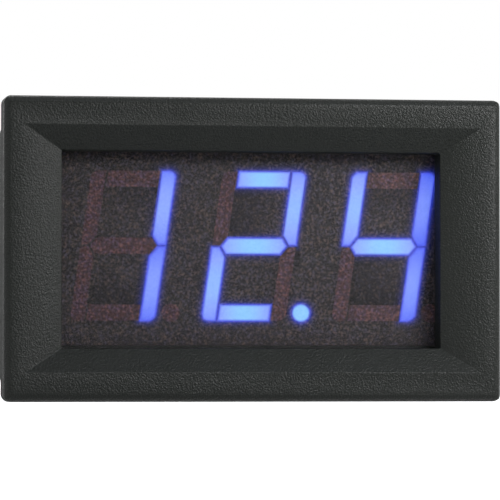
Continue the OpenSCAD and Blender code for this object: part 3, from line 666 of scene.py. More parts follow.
LIGHT_CHIP = two_tone(
    "light chip", (0.30, 0.34, 0.52, 1), (0.62, 0.58, 0.36, 1), ("Fleck", 0.22, 0.34), 0.08, 0.3, 0.004,
    Specular_IOR_Level=0.8,
)
softened("led_chips", "light_chips", LIGHT_CHIP, 0.03)
CHIP_CLOTH = laminate("chip board", (0.16, 0.17, 0.05, 1), (0.27, 0.27, 0.10, 1), 0.45, 0.01)
softened("chip_board", "display_chip_board", CHIP_CLOTH, 0.05)

# ---------- Potting and display pins ----------
# Milky epoxy is poured behind the chip board and sets with a soft rim.
# The pins are round tinned wire; they carry the display on the main board.


def tinned(name, dark, light, rough, grain=0.30, depth=0.006):
    """Tin or solder on metal: dull patches, fine grain and a faint warm stain."""
    made, tree, shader = finish(name, Metallic=1.0)
    surface = use(tree, GRAIN, Grain_Size=grain, Wave_Size=1.6)
    metal = blend(tree, grain_tone(tree, surface, 0.4, 0.6), dark, light)
    stain = spread(tree, surface.outputs["Wave"], 0.56, 0.72, 0.0, 0.35)
    feed(tree, shader, Base_Color=blend(tree, stain, metal, (0.50, 0.44, 0.33, 1)))
    dull = calc(tree, "MULTIPLY", surface.outputs["Fleck"], 0.10)
    dull = calc(tree, "ADD", dull, roughness(tree, surface, "Wave", rough - 0.06, rough + 0.10))
    feed(tree, shader, Roughness=dull)
    bump(tree, shader, surface.outputs["Height"], depth)
    return made


MILKY_EPOXY = two_tone(
    "milky epoxy", (0.44, 0.42, 0.35, 1), (0.60, 0.58, 0.50, 1), ("Fleck", 0.32, 0.22), 0.7, 4.0, 0.10,
    height="Wave", Coat_Weight=0.3,
)
softened("display_potting", "display_potting_epoxy", MILKY_EPOXY, 0.1)
PIN_TIN = tinned("tinned wire", (0.50, 0.50, 0.49, 1), (0.74, 0.74, 0.72, 1), 0.26)
softened("display_pins", "display_wire_pins", PIN_TIN, 0.06)

# ---------- Main board ----------
# One glass-epoxy board carries everything and presses on the display from behind.
# Green solder mask covers both faces; its sawn edges stay bare.

MASK_DARK = (0.0040, 0.062, 0.022, 1)
MASK_LIGHT = (0.0090, 0.115, 0.040, 1)
BOARD_CLOTH = laminate("green board", MASK_DARK, MASK_LIGHT, 0.30, 0.012, Specular_IOR_Level=0.5, Coat_Weight=0.15)
softened("main_board", "green_main_board", BOARD_CLOTH, 0.05)

# ---------- Copper and legend on the board ----------
# Copper runs show through the mask as paler green; pads, pin lands and vias are bare and tinned.
# A white printed outline marks the place of each part.

BOARD_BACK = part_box("main_board")[1].y / MM
# Reach of a pad beyond its foot's end, beside it and back under it
PAD_OUT, PAD_SIDE, PAD_UNDER = 0.32, 0.10, 0.25
PAD_SUNK, PAD_HIGH = 0.03, 0.045
VIA_R, LAND_R = 0.32, 1.12
# Width of the dark disc painted as hole shade in each via, as a share of the via's radius, and its height share
HOLE_SHARE, HOLE_HIGH = 1.2, 0.7
# Width and height of thin and wide runs and of printed lines
THIN_W, THIN_H = 0.24, 0.018
WIDE_W, WIDE_H, WIDE_TURN = 1.0, 0.022, 0.8
LEGEND_W, LEGEND_H = 0.15, 0.028
# Gaps from a part to the frame round it and to the marks beside it, and how much the marks fall short
FRAME_GAP, MARK_GAP, MARK_SHORT = 0.35, 0.3, 0.2
# Lengths of the short runs that end in a via
DRIVER_STUB, CHIP_STUB, RESISTOR_STUB, CERAMIC_STUB = 0.75, 1.2, 1.6, 1.5
# Pairs joined by thin runs: resistors to lower pins, and the controller's upper legs to upper pins
RESISTOR_PINS = ((0, 0), (1, 1), (2, 2), (5, 3), (6, 4), (7, 5))
LEG_PINS = ((0, 0), (1, 1), (2, 2), (4, 3), (6, 4), (7, 5))
FREE_VIAS = (
    (-19.9, 8.6), (-19.9, -9.6), (19.9, -10.3), (10.6, 9.6), (-9.4, -7.3), (9.5, 6.7), (-11.0, -3.0), (8.6, -4.2),
)


def box_mm(node):
    """Footprint of a CAD solid on the board: x from, x to, z from, z to in mm."""
    low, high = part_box(node)
    return low.x / MM, high.x / MM, low.z / MM, high.z / MM


def feet(node):
    """Footprints of the separate bodies of a node, from left to right, then upwards."""
    work = merged(node)
    found = []
    for group in islands(work):
        xs = [v.co.x / MM for face in group for v in face.verts]
        zs = [v.co.z / MM for face in group for v in face.verts]
        found.append((min(xs), max(xs), min(zs), max(zs)))
    work.free()
    return sorted(found, key=lambda f: (round(f[0], 1), f[2]))


def nearest(foot, bodies):
    """The body that a foot belongs to."""
    x, z = (foot[0] + foot[1]) / 2, (foot[2] + foot[3]) / 2
    return min(bodies, key=lambda b: max(b[0] - x, x - b[1], 0) + max(b[2] - z, z - b[3], 0))


def reach_of(foot, body):
    """Which way a foot leaves its body, as a unit step across and up, where its free end lies, and how far."""
    left, right, low, high = (foot[i] - body[i] for i in range(4))
    past = {(-1, 0): -left, (1, 0): right, (0, -1): -low, (0, 1): high}
    way = max(past, key=past.get)
    x = {-1: foot[0], 1: foot[1], 0: (foot[0] + foot[1]) / 2}[way[0]]
    z = {-1: foot[2], 1: foot[3], 0: (foot[2] + foot[3]) / 2}[way[1]]
    return way, x, z, past[way]


def width_of(foot, across):
    """Width of a foot, measured at right angles to the way it leaves its body."""
    return foot[3] - foot[2] if across else foot[1] - foot[0]


def pad_under(foot, body):
    """Pad below a foot: middle across and up, then its sides."""
    (dx, dz), x, z, past = reach_of(foot, body)
    inner = past + PAD_UNDER
    shift = (PAD_OUT - inner) / 2
    length = PAD_OUT + inner
    width = width_of(foot, dx) + 2 * PAD_SIDE
    return (x + dx * shift, z + dz * shift, length if dx else width, width if dx else length)


FEET = []
for legs, bodies in (
    ("controller_legs", "controller"), ("driver_legs", "drivers"), ("regulator_legs", "regulator"),
    ("diode_straps", "protection_diode"), ("capacitor_tabs", "capacitor_base"), ("trimmer_tabs", "trimmer_body"),
    ("socket_contacts", "wire_socket"),
):
    FEET += [(legs, foot, nearest(foot, feet(bodies))) for foot in feet(legs)]
for foot in feet("tinned_ends"):
    FEET.append(("tinned_ends", foot, nearest(foot, feet("resistors") + feet("ceramic_capacitors"))))
PINS = [((f[0] + f[1]) / 2, (f[2] + f[3]) / 2) for f in feet("display_pins")]


def toes(legs):
    """Free ends of a part's feet, as points across and up."""
    return [reach_of(foot, body)[1:3] for name, foot, body in FEET if name == legs]


def bend(a, b, lead=0.35):
    """A copper run from one point to another: straight up or down, then at 45 degrees, then straight."""
    way = 1 if b[1] > a[1] else -1
    slant = abs(b[0] - a[0])
    rest = abs(b[1] - a[1]) - slant
    if rest < lead:
        return [a, (b[0], a[1] + way * slant), b]
    return [a, (a[0], a[1] + way * lead), (b[0], a[1] + way * (lead + slant)), b]


def copper_runs():
    """Thin runs between the controller, its resistors and the pins; wide ones for the supply; and the vias."""
    thin, wide, vias = [], [], []

    def stub(point, across, up):
        """A short thin run that ends in a via."""
        end = (point[0] + across, point[1] + up)
        thin.append([point, end])
        vias.append(end)

    _, _, chip_low, chip_high = box_mm("controller")
    _, resistors_right, resistors_low, resistors_high = box_mm("resistors")
    chip_z, resistor_z = (chip_low + chip_high) / 2, (resistors_low + resistors_high) / 2
    chip = sorted(toes("controller_legs"))
    below, above = [p for p in chip if p[1] < chip_z], [p for p in chip if p[1] > chip_z]
    ends = [p for p in toes("tinned_ends") if p[0] < resistors_right]
    tops = sorted(p for p in ends if p[1] > resistor_z)
    bottoms = sorted(p for p in ends if p[1] < resistor_z)
    low_pins, high_pins = sorted(p for p in PINS if p[1] < 0), sorted(p for p in PINS if p[1] > 0)
    thin += [bend(a, b) for a, b in zip(below, tops)]
    thin += [bend(bottoms[i], low_pins[j]) for i, j in RESISTOR_PINS]
    thin += [bend(above[i], high_pins[j]) for i, j in LEG_PINS]
    for i in (3, 4):
        stub(bottoms[i], 0, -RESISTOR_STUB)
    for i in (3, 5):
        stub(above[i], 0, CHIP_STUB)
    bus_x = box_mm("driver_legs")[0] - 1.1
    for toe in toes("driver_legs"):
        if toe[0] < box_mm("drivers")[0]:
            thin.append([toe, (bus_x, toe[1])])
        elif toe[1] > -1.5:
            stub(toe, DRIVER_STUB, 0)
    low, high = box_mm("regulator")[2:]
    out = sorted(p for p in toes("regulator_legs") if p[1] < (low + high) / 2)[-1]
    tabs, straps = sorted(toes("capacitor_tabs")), sorted(toes("diode_straps"))
    tails = sorted(toes("socket_contacts"))
    cap_x = tabs[0][0] - 0.6
    wide.append([(bus_x, -1.9), (bus_x, 8.6), (bus_x - 1.2, 9.8), (-15.5, 9.8)])
    wide.append([out, (out[0], out[1] - 0.4), (tabs[1][0] + 0.2, 2.6), tabs[1]])
    wide.append([tabs[0], (cap_x, -0.1), (cap_x, -5.0), straps[0]])
    wide.append([straps[1], (-9.2, -9.4), (-8.4, -10.2), (10.4, -10.2), tails[0]])
    wide.append([tails[1], (tails[1][0], -10.3)])
    wide.append([tails[2], (tails[2][0], -9.6), (19.6, -7.0), (19.6, 8.2), (18.2, 9.6), (9.5, 9.6)])
    (left_x, left_z), (top_x, top_z), (right_x, right_z) = sorted(toes("trimmer_tabs"))
    thin.append([(left_x, left_z), (left_x, 0.9), (left_x - 1.6, -0.7), (8.4, -0.7)])
    thin.append([(right_x, right_z), (right_x, 1.1), (17.6, -0.5)])
    vias += [(8.4, -0.7), (17.6, -0.5)]
    thin.append([(top_x, top_z), (top_x, 8.2), (13.1, 9.6)])
    for toe in toes("tinned_ends"):
        if toe[0] > resistors_right:
            stub(toe, CERAMIC_STUB, 0)
    return thin, wide, vias + list(FREE_VIAS)


def legend_lines():
    """Printed outlines: a frame round each larger part and a pair of short lines beside each small one."""
    lines = []
    for node in ("protection_diode", "capacitor_base", "trimmer_body", "wire_socket"):
        x0, x1, z0, z1 = box_mm(node)
        x0, x1, z0, z1 = x0 - FRAME_GAP, x1 + FRAME_GAP, z0 - FRAME_GAP, z1 + FRAME_GAP
        lines.append([(x0, z0), (x1, z0), (x1, z1), (x0, z1), (x0, z0)])
    for x0, x1, z0, z1 in [box_mm("controller")] + feet("drivers") + [box_mm("regulator")]:
        if x1 - x0 > z1 - z0:
            lines += [[(x, z0 + MARK_SHORT), (x, z1 - MARK_SHORT)] for x in (x0 - MARK_GAP, x1 + MARK_GAP)]
        else:
            lines += [[(x0 + MARK_SHORT, z), (x1 - MARK_SHORT, z)] for z in (z0 - MARK_GAP, z1 + MARK_GAP)]
    small = feet("resistors")
    for left, right in zip(small, small[1:]):
        x = (left[1] + right[0]) / 2
        lines.append([(x, left[2] - MARK_SHORT / 2), (x, left[3] + MARK_SHORT / 2)])
    x0, _, z0, z1 = box_mm("protection_diode")
    lines.append([(x0 - 2 * FRAME_GAP, z0 - FRAME_GAP), (x0 - 2 * FRAME_GAP, z1 + FRAME_GAP)])
    return lines


def growth(name, inputs):
    """An empty geometry tree with its two ends, a material input and the named inputs."""
    tree = bpy.data.node_groups.new(name, "GeometryNodeTree")
    tree.interface.new_socket("Geometry", in_out="INPUT", socket_type="NodeSocketGeometry")
    tree.interface.new_socket("Finish", in_out="INPUT", socket_type="NodeSocketMaterial")
    for label, value in inputs:
        tree.interface.new_socket(label, in_out="INPUT", socket_type="NodeSocketFloat").default_value = value
    tree.interface.new_socket("Geometry", in_out="OUTPUT", socket_type="NodeSocketGeometry")
    return tree, tree.nodes.new("NodeGroupInput"), tree.nodes.new("NodeGroupOutput")


def laid_on_board(tree, start, end, shape):
    """Ends a tree: the shape, built flat, is realised, given its finish and laid on the board's back."""
    solid = first(tree, "GeometryNodeRealizeInstances", {0: shape})
    solid = first(tree, "GeometryNodeMergeByDistance", {0: solid, "Distance": 1e-6})
    solid = first(tree, "GeometryNodeSetMaterial", {"Geometry": solid, "Material": start.outputs["Finish"]})
    place = {"Rotation": (-math.pi / 2, 0, 0), "Translation": (0, BOARD_BACK * MM, 0)}
    solid = first(tree, "GeometryNodeTransform", {"Geometry": solid} | place)
    tree.links.new(solid, end.inputs[0])
    return tree


def carried_size(tree):
    """The size that each point of the source carries."""
    return first(tree, "GeometryNodeInputNamedAttribute", {"Name": "size"}, data_type="FLOAT_VECTOR")


def set_on_points(tree, start, shape, size):
    """The shape on every point of the source, at the given size."""
    inputs = {"Points": start.outputs["Geometry"], "Instance": shape, "Scale": size}
    return first(tree, "GeometryNodeInstanceOnPoints", inputs)


def closed_plate(tree, outline, below, above):
    """A flat outline raised to a closed plate that is sunk a little into the board."""
    face = first(tree, "GeometryNodeFillCurve", {0: outline}, mode="NGONS")
    face = first(tree, "GeometryNodeTransform", {"Geometry": face, "Translation": (0, 0, below)})
    up = first(tree, "ShaderNodeCombineXYZ", {2: above - below})
    raised = step(tree, "GeometryNodeExtrudeMesh", {"Mesh": face, "Offset": up, "Individual": False}, mode="FACES")
    base = first(tree, "GeometryNodeFlipFaces", {0: face})
    both = step(tree, "GeometryNodeJoinGeometry", {0: raised.outputs[0]})
    tree.links.new(base, both.inputs[0])
    return first(tree, "GeometryNodeMergeByDistance", {0: both.outputs[0], "Distance": 1e-7})


def flat_band(tree, width, height):
    """A rectangle as a curve."""
    return first(tree, "GeometryNodeCurvePrimitiveQuadrilateral", {"Width": width, "Height": height})


def plates_tree():
    """Thin plates with rounded corners, one on each point."""
    tree, start, end = growth("plates", [("Corner", 0.2)])
    square = flat_band(tree, 1.0, 1.0)
    corner = {"Count": 5, "Radius": start.outputs["Corner"]}
    rounded = first(tree, "GeometryNodeFilletCurve", {"Curve": square} | corner, mode="POLY")
    plate = closed_plate(tree, rounded, -PAD_SUNK * MM, PAD_HIGH * MM)
    return laid_on_board(tree, start, end, set_on_points(tree, start, plate, carried_size(tree)))


def rings_tree():
    """Flat rings of unit radius and half-radius bore, one on each point."""
    tree, start, end = growth("rings", [("Bore", 0.5)])
    bore = start.outputs["Bore"]
    middle = calc(tree, "MULTIPLY", calc(tree, "ADD", bore, 1.0), 0.5)
    circle = first(tree, "GeometryNodeCurvePrimitiveCircle", {"Resolution": 28, "Radius": middle})
    upright = first(tree, "GeometryNodeSetCurveNormal", {0: circle}, mode="Z_UP")
    band = flat_band(tree, calc(tree, "SUBTRACT", 1.0, bore), 2 * PAD_HIGH * MM)
    ring = first(tree, "GeometryNodeCurveToMesh", {"Curve": upright, "Profile Curve": band})
    return laid_on_board(tree, start, end, set_on_points(tree, start, ring, carried_size(tree)))


def runs_tree():
    """Flat strips along the edges of the source, with gently rounded corners."""
    tree, start, end = growth("runs", [("Width", 0.2 * MM), ("Height", 0.02 * MM), ("Turn Radius", 0.2 * MM)])
    path = first(tree, "GeometryNodeMeshToCurve", {0: start.outputs["Geometry"]})
    turn = {"Count": 4, "Radius": start.outputs["Turn Radius"], "Limit Radius": True}
    path = first(tree, "GeometryNodeFilletCurve", {"Curve": path} | turn, mode="POLY")
    path = first(tree, "GeometryNodeSetCurveNormal", {0: path}, mode="Z_UP")
    twice = calc(tree, "MULTIPLY", start.outputs["Height"], 2.0)
    band = flat_band(tree, start.outputs["Width"], twice)
    strip = first(tree, "GeometryNodeCurveToMesh", {"Curve": path, "Profile Curve": band, "Fill Caps": True})
    return laid_on_board(tree, start, end, strip)


def grow(piece, tree, points, material, slot, sizes=(), lines=(), smooth=20, **values):
    """Runs a geometry tree on points or lines given across and up in mm, and keeps the result as a plain mesh."""
    spots = [(x * MM, -z * MM, 0) for x, z in points]
    edges = []
    for line in lines:
        start = len(spots)
        spots += [(x * MM, -z * MM, 0) for x, z in line]
        edges += [(start + i, start + i + 1) for i in range(len(line) - 1)]
    source = bpy.data.meshes.new(piece)
    source.from_pydata(spots, edges, [])
    if sizes:
        layer = source.attributes.new("size", "FLOAT_VECTOR", "POINT")
        layer.data.foreach_set("vector", [c for size in sizes for c in size])
    made = bpy.data.objects.new(piece, source)
    bpy.context.scene.collection.objects.link(made)
    nodes = made.modifiers.new("grow", "NODES")
    nodes.node_group = tree
    values = {key.replace("_", " "): value for key, value in values.items()} | {"Finish": material}
    for socket in tree.interface.items_tree:
        if socket.in_out == "INPUT" and socket.name in values:
            nodes[socket.identifier] = values[socket.name]
    ready = made.evaluated_get(bpy.context.evaluated_depsgraph_get())
    plain = bpy.data.meshes.new_from_object(ready)
    plain.name = piece
    made.modifiers.remove(nodes)
    made.data = plain
    plain.materials.clear()
    plain.materials.append(material)
    plain.polygons.foreach_set("material_index", [0] * len(plain.polygons))
    plain.shade_smooth()
    plain.set_sharp_from_angle(angle=math.radians(smooth))
    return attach(made, "meter")


PLATES, RINGS, RUNS = plates_tree(), rings_tree(), runs_tree()
THIN_RUNS, WIDE_RUNS, VIAS = copper_runs()
MASKED = two_tone(
    "masked copper", (0.008, 0.108, 0.038, 1), (0.016, 0.165, 0.060, 1), ("Fleck", 0.36, 0.26), 0.45, 4.0, 0.006,
    Specular_IOR_Level=0.5, Coat_Weight=0.15,
)
LEGEND_INK = two_tone(
    "legend ink", (0.50, 0.52, 0.48, 1), (0.72, 0.74, 0.70, 1), ("Wave", 0.55, 0.70), 0.15, 2.0, 0.01,
    tone="Fleck", Specular_IOR_Level=0.3,
)
# Dark finish for the discs in the via bores: painted shade that stands for the inside of each drilled hole
HOLE_SHADE = two_tone(
    "painted hole shade", (0.004, 0.010, 0.005, 1), (0.010, 0.022, 0.012, 1), ("Wave", 0.55, 0.75), 0.1, 0.5, 0.005,
    tone="Fleck", Specular_IOR_Level=0.2,
)
PAD_TIN = tinned("tinned pads", (0.46, 0.46, 0.45, 1), (0.70, 0.70, 0.68, 1), 0.30, grain=0.5, depth=0.015)
pads = [pad_under(foot, body) for _, foot, body in FEET]
grow("thin_copper_runs", RUNS, [], MASKED, "board_laminate", lines=THIN_RUNS, Width=THIN_W * MM, Height=THIN_H * MM)
grow(
    "wide_copper_runs", RUNS, [], MASKED, "board_laminate", lines=WIDE_RUNS, Width=WIDE_W * MM, Height=WIDE_H * MM,
    Turn_Radius=WIDE_TURN * MM,
)
grow(
    "legend_outlines", RUNS, [], LEGEND_INK, "board_laminate", lines=legend_lines(), Width=LEGEND_W * MM,
    Height=LEGEND_H * MM,
)
pad_sizes = [(p[2] * MM, p[3] * MM, 1) for p in pads]
grow("tinned_pads", PLATES, [p[:2] for p in pads], PAD_TIN, "solder", pad_sizes, Corner=0.15)
grow("pin_lands", RINGS, PINS, PAD_TIN, "solder", [(LAND_R * MM, LAND_R * MM, 1)] * len(PINS), Bore=0.5)
grow("via_rings", RINGS, VIAS, PAD_TIN, "solder", [(VIA_R * MM, VIA_R * MM, 1)] * len(VIAS), Bore=0.5)
# A dark disc under each via ring shows through its bore as painted shade for the hole
hole = (VIA_R * HOLE_SHARE * MM, VIA_R * HOLE_SHARE * MM, HOLE_HIGH)
grow("via_hole_shade", PLATES, VIAS, HOLE_SHADE, "board_laminate", [hole] * len(VIAS), Corner=0.49)

# ---------- Solder ----------
# Hand-soldered cones with hollow flanks climb the display's pins.
# Smaller reflowed fillets rise from each pad against the end of its leg, strap, tab or cap.

PIN_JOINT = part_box("solder_joints")[1].y / MM - BOARD_BACK
PIN_JOINT_R = 0.95
# Heights of the solder at end caps and at toes; its reach beyond a foot's sides and short of the pad's end
CAP_JOINT, TOE_JOINT = 0.36, 0.19
JOINT_SIDE, JOINT_INSET = 0.06, 0.02


def fillets_tree():
    """Solder that falls off in a hollow curve, one on each point, none quite like the next."""
    tree, start, end = growth("fillets", [("Top", 0.4), ("Hollow", 2.2), ("Seed", 7.0), ("Uneven", 0.08)])
    line = first(tree, "GeometryNodeCurvePrimitiveLine", {"Start": (0, 0, -0.05), "End": (0, 0, 1)})
    line = first(tree, "GeometryNodeResampleCurve", {"Curve": line, "Count": 9})
    up = step(tree, "GeometryNodeSplineParameter").outputs["Factor"]
    fall = calc(tree, "POWER", calc(tree, "SUBTRACT", 1.0, up), start.outputs["Hollow"])
    wide = calc(tree, "SUBTRACT", 1.0, start.outputs["Top"])
    radius = calc(tree, "ADD", calc(tree, "MULTIPLY", fall, wide), start.outputs["Top"])
    circle = first(tree, "GeometryNodeCurvePrimitiveCircle", {"Resolution": 24, "Radius": 1.0})
    skin = {"Curve": line, "Profile Curve": circle, "Scale": radius, "Fill Caps": True}
    skin = first(tree, "GeometryNodeCurveToMesh", skin)
    seed = calc(tree, "ADD", first(tree, "GeometryNodeInputIndex"), start.outputs["Seed"])
    low = calc(tree, "SUBTRACT", 1.0, start.outputs["Uneven"])
    low = first(tree, "ShaderNodeCombineXYZ", {0: low, 1: low, 2: low})
    chance = first(tree, "FunctionNodeRandomValue", {0: low, 1: (1, 1, 1), "Seed": seed}, data_type="FLOAT_VECTOR")
    size = first(tree, "ShaderNodeVectorMath", {0: carried_size(tree), 1: chance}, operation="MULTIPLY")
    return laid_on_board(tree, start, end, set_on_points(tree, start, skin, size))


def joint_at(name, foot, body):
    """Solder against the free end of a foot: its place and its reach across, up and off the board."""
    (dx, _), x, z, _ = reach_of(foot, body)
    height = CAP_JOINT if name == "tinned_ends" else TOE_JOINT
    width = width_of(foot, dx) / 2 + JOINT_SIDE
    reach = PAD_OUT - JOINT_INSET
    return (x, z), ((reach if dx else width) * MM, (width if dx else reach) * MM, height * MM)


FILLETS = fillets_tree()
SOLDER = tinned("bright solder", (0.55, 0.55, 0.55, 1), (0.80, 0.80, 0.78, 1), 0.20, grain=0.6, depth=0.02)
joints = [joint_at(*one) for one in FEET]
cones = grow(
    "pin_solder_cones", FILLETS, PINS, SOLDER, "solder",
    [(PIN_JOINT_R * MM, PIN_JOINT_R * MM, PIN_JOINT * MM)] * len(PINS), smooth=50, Top=0.36, Hollow=2.4, Seed=7.0,
)
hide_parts("solder_joints")
grow(
    "pad_solder_fillets", FILLETS, [j[0] for j in joints], SOLDER, "solder", [j[1] for j in joints], smooth=50,
    Top=0.55, Hollow=1.8, Seed=31.0,
)

# ---------- Controller, drivers and regulator ----------
# Chips moulded in black filled epoxy; their tinned legs are cropped and bent to the board.
# The controller reads and shows the voltage, the drivers switch the digits, the regulator feeds both.

EPOXY = moulded(
    "chip epoxy", (0.010, 0.010, 0.011, 1), (0.026, 0.026, 0.027, 1), 0.42, grain=0.07, depth=0.012,
    worn=(0.12, 0.12, 0.12, 1), Specular_IOR_Level=0.4,
)
LEG_TIN = tinned("tinned legs", (0.48, 0.48, 0.47, 1), (0.72, 0.72, 0.70, 1), 0.28, grain=0.2)
softened("controller", "controller_chip", EPOXY, 0.06)
softened("drivers", "driver_chips", EPOXY, 0.05)
softened("regulator", "regulator_chip", EPOXY, 0.06)
LEG_PIECES = {
    "controller_legs": "controller_tin_legs",
    "driver_legs": "driver_tin_legs",
    "regulator_legs": "regulator_tin_legs",
}
for legs, piece in LEG_PIECES.items():
    softened(legs, piece, LEG_TIN, 0.03)

# ---------- Protection diode ----------
# A moulded rectifier between two folded tinned straps; a pale band marks one end.


# From where to where, beyond the diode's left end, its band is printed
BAND = (0.45, 1.05)


def banded_epoxy():
    """The black epoxy of the other bodies, with a pale printed band near the diode's left end."""
    made = EPOXY.copy()
    made.name = "banded epoxy"
    tree = made.node_tree
    shader = tree.nodes["Principled BSDF"]
    plain = shader.inputs["Base Color"].links[0].from_socket
    left = box_mm("protection_diode")[0]
    along = first(tree, "ShaderNodeSeparateXYZ", {0: object_place(tree)})
    past = calc(tree, "GREATER_THAN", along, (left + BAND[0]) * MM)
    short = calc(tree, "LESS_THAN", along, (left + BAND[1]) * MM)
    rub = use(tree, GRAIN, Grain_Size=0.12).outputs["Fleck"]
    ink = calc(tree, "MULTIPLY", calc(tree, "MULTIPLY", past, short), spread(tree, rub, 0, 1, 0.75, 1.0))
    feed(tree, shader, Base_Color=blend(tree, ink, plain, (0.42, 0.43, 0.42, 1)))
    return made


softened("protection_diode", "banded_diode", banded_epoxy(), 0.08)
softened("diode_straps", "folded_straps", LEG_TIN, 0.03)

# ---------- Resistors and ceramic capacitors ----------
# Eight resistors limit the bars' current: white ceramic with black glaze on top. Two tan ceramic
# capacitors steady the controller. Fired and tinned end caps wrap all of them.


def glazed_ceramic():
    made, tree, shader = finish("glazed ceramic", Specular_IOR_Level=0.6)
    surface = use(tree, GRAIN, Grain_Size=0.12, Wave_Size=1.0)
    normal = step(tree, "ShaderNodeNewGeometry").outputs["True Normal"]
    top = calc(tree, "GREATER_THAN", step(tree, "ShaderNodeSeparateXYZ", {0: normal}).outputs[1], 0.8)
    glaze = blend(tree, surface.outputs["Wave"], (0.006, 0.006, 0.007, 1), (0.020, 0.020, 0.022, 1))
    body = blend(tree, surface.outputs["Fleck"], (0.52, 0.51, 0.47, 1), (0.66, 0.65, 0.61, 1))
    feed(tree, shader, Base_Color=blend(tree, top, body, glaze))
    matt = roughness(tree, surface, "Fleck", 0.62, 0.52)
    feed(tree, shader, Roughness=calc(tree, "SUBTRACT", matt, calc(tree, "MULTIPLY", top, 0.34)))
    bump(tree, shader, surface.outputs["Height"], 0.01)
    return made


CAP_TIN = tinned("tinned caps", (0.50, 0.50, 0.50, 1), (0.72, 0.72, 0.71, 1), 0.32, grain=0.12)
TAN = moulded(
    "tan ceramic", (0.26, 0.155, 0.075, 1), (0.40, 0.255, 0.135, 1), 0.42, grain=0.10, depth=0.008,
    worn=(0.5, 0.36, 0.22, 1),
)
softened("resistors", "glazed_resistors", glazed_ceramic(), 0.03)
softened("ceramic_capacitors", "tan_capacitors", TAN, 0.04)
softened("tinned_ends", "tinned_end_caps", CAP_TIN, 0.04)

# ---------- Filter capacitor ----------
# A drawn aluminium can rolled onto a black moulded base with two flat tabs.
# A dark half-moon printed on its top marks one tab.


def drawn_can():
    made, tree, shader = finish("drawn can", Metallic=1.0)
    x0, x1, z0, z1 = box_mm("capacitor_can")
    middle = first(tree, "ShaderNodeCombineXYZ", {0: (x0 + x1) / 2 * MM, 2: (z0 + z1) / 2 * MM})
    place = object_place(tree)
    off = first(tree, "ShaderNodeVectorMath", {0: place, 1: middle}, operation="SUBTRACT")
    parts = step(tree, "ShaderNodeSeparateXYZ", {0: off}).outputs
    normal = step(tree, "ShaderNodeNewGeometry").outputs["True Normal"]
    top = calc(tree, "GREATER_THAN", step(tree, "ShaderNodeSeparateXYZ", {0: normal}).outputs[1], 0.9)
    flat = first(tree, "ShaderNodeCombineXYZ", {0: parts[0], 1: parts[2]})
    out = step(tree, "ShaderNodeVectorMath", {0: flat}, operation="LENGTH").outputs["Value"]
    rings = first(tree, "ShaderNodeCombineXYZ", {0: out})
    turned = step(tree, "ShaderNodeTexNoise", {"Vector": rings, "Scale": 9 / MM, "Detail": 3.0})
    stretched = first(tree, "ShaderNodeVectorMath", {0: off, 1: (1, 0.04, 1)}, operation="MULTIPLY")
    drawn = step(tree, "ShaderNodeTexNoise", {"Vector": stretched, "Scale": 6 / MM, "Detail": 3.0})
    lines = first(tree, "ShaderNodeMix", {0: top, 2: drawn.outputs["Fac"], 3: turned.outputs["Fac"]}, data_type="FLOAT")
    metal = blend(tree, lines, (0.52, 0.53, 0.54, 1), (0.76, 0.77, 0.78, 1))
    moon = calc(tree, "MULTIPLY", top, calc(tree, "LESS_THAN", parts[0], -1.0 * MM))
    moon = calc(tree, "MULTIPLY", moon, calc(tree, "LESS_THAN", out, 2.22 * MM))
    feed(tree, shader, Base_Color=blend(tree, moon, metal, (0.012, 0.012, 0.016, 1)))
    feed(tree, shader, Metallic=calc(tree, "SUBTRACT", 1.0, moon))
    feed(tree, shader, Roughness=spread(tree, lines, 0.3, 0.7, 0.30, 0.20))
    bump(tree, shader, lines, 0.01)
    return made


softened("capacitor_can", "aluminium_can", drawn_can(), 0)
BASE_BLACK = moulded(
    "base moulding", (0.012, 0.012, 0.012, 1), (0.028, 0.028, 0.028, 1), 0.40, grain=0.15, depth=0.01,
)
softened("capacitor_base", "black_capacitor_base", BASE_BLACK, 0.08)
softened("capacitor_tabs", "capacitor_tin_tabs", LEG_TIN, 0.04)

# ---------- Trimmer ----------
# Sets the reading: a blue moulded housing with a cream rotor that takes a small screwdriver.

TRIMMER_BLUE = moulded(
    "trimmer moulding", (0.012, 0.075, 0.300, 1), (0.024, 0.120, 0.420, 1), 0.34, grain=0.18, depth=0.012,
    worn=(0.18, 0.30, 0.62, 1),
)
ROTOR_CREAM = moulded(
    "rotor moulding", (0.52, 0.46, 0.33, 1), (0.68, 0.62, 0.48, 1), 0.38, grain=0.15, depth=0.012,
    worn=(0.80, 0.76, 0.66, 1),
)
softened("trimmer_body", "blue_trimmer_housing", TRIMMER_BLUE, 0.08)
softened("trimmer_rotor", "slotted_rotor", ROTOR_CREAM, 0.06, "rotor")
softened("trimmer_tabs", "trimmer_tin_tabs", LEG_TIN, 0.04)

# ---------- Wire socket ----------
# A cream nylon housing with three tinned contacts takes the plug of the supply and measuring wires.

NYLON = moulded(
    "socket nylon", (0.58, 0.54, 0.43, 1), (0.72, 0.69, 0.58, 1), 0.36, grain=0.22, depth=0.012,
    worn=(0.84, 0.82, 0.74, 1),
)
CONTACT_TIN = tinned("contact tin", (0.56, 0.54, 0.48, 1), (0.76, 0.74, 0.68, 1), 0.22, grain=0.25)
softened("wire_socket", "nylon_wire_socket", NYLON, 0.08)
softened("socket_contacts", "tinned_socket_contacts", CONTACT_TIN, 0.05)

# ---------- Stage ----------
# Pale floor under the standing meter, white surroundings and soft studio lamps.

FLOOR_SIDE = 3.0
CAMERA_PLACE = Vector((-54.84, -348.49, -11.26)) * MM
CAMERA_AXES = ((0.98786, -0.15537, 0.0), (-0.00497, -0.03161, 0.99949), (-0.15529, -0.98735, -0.03199))
SENSOR = 36.0
LENS = 264.8


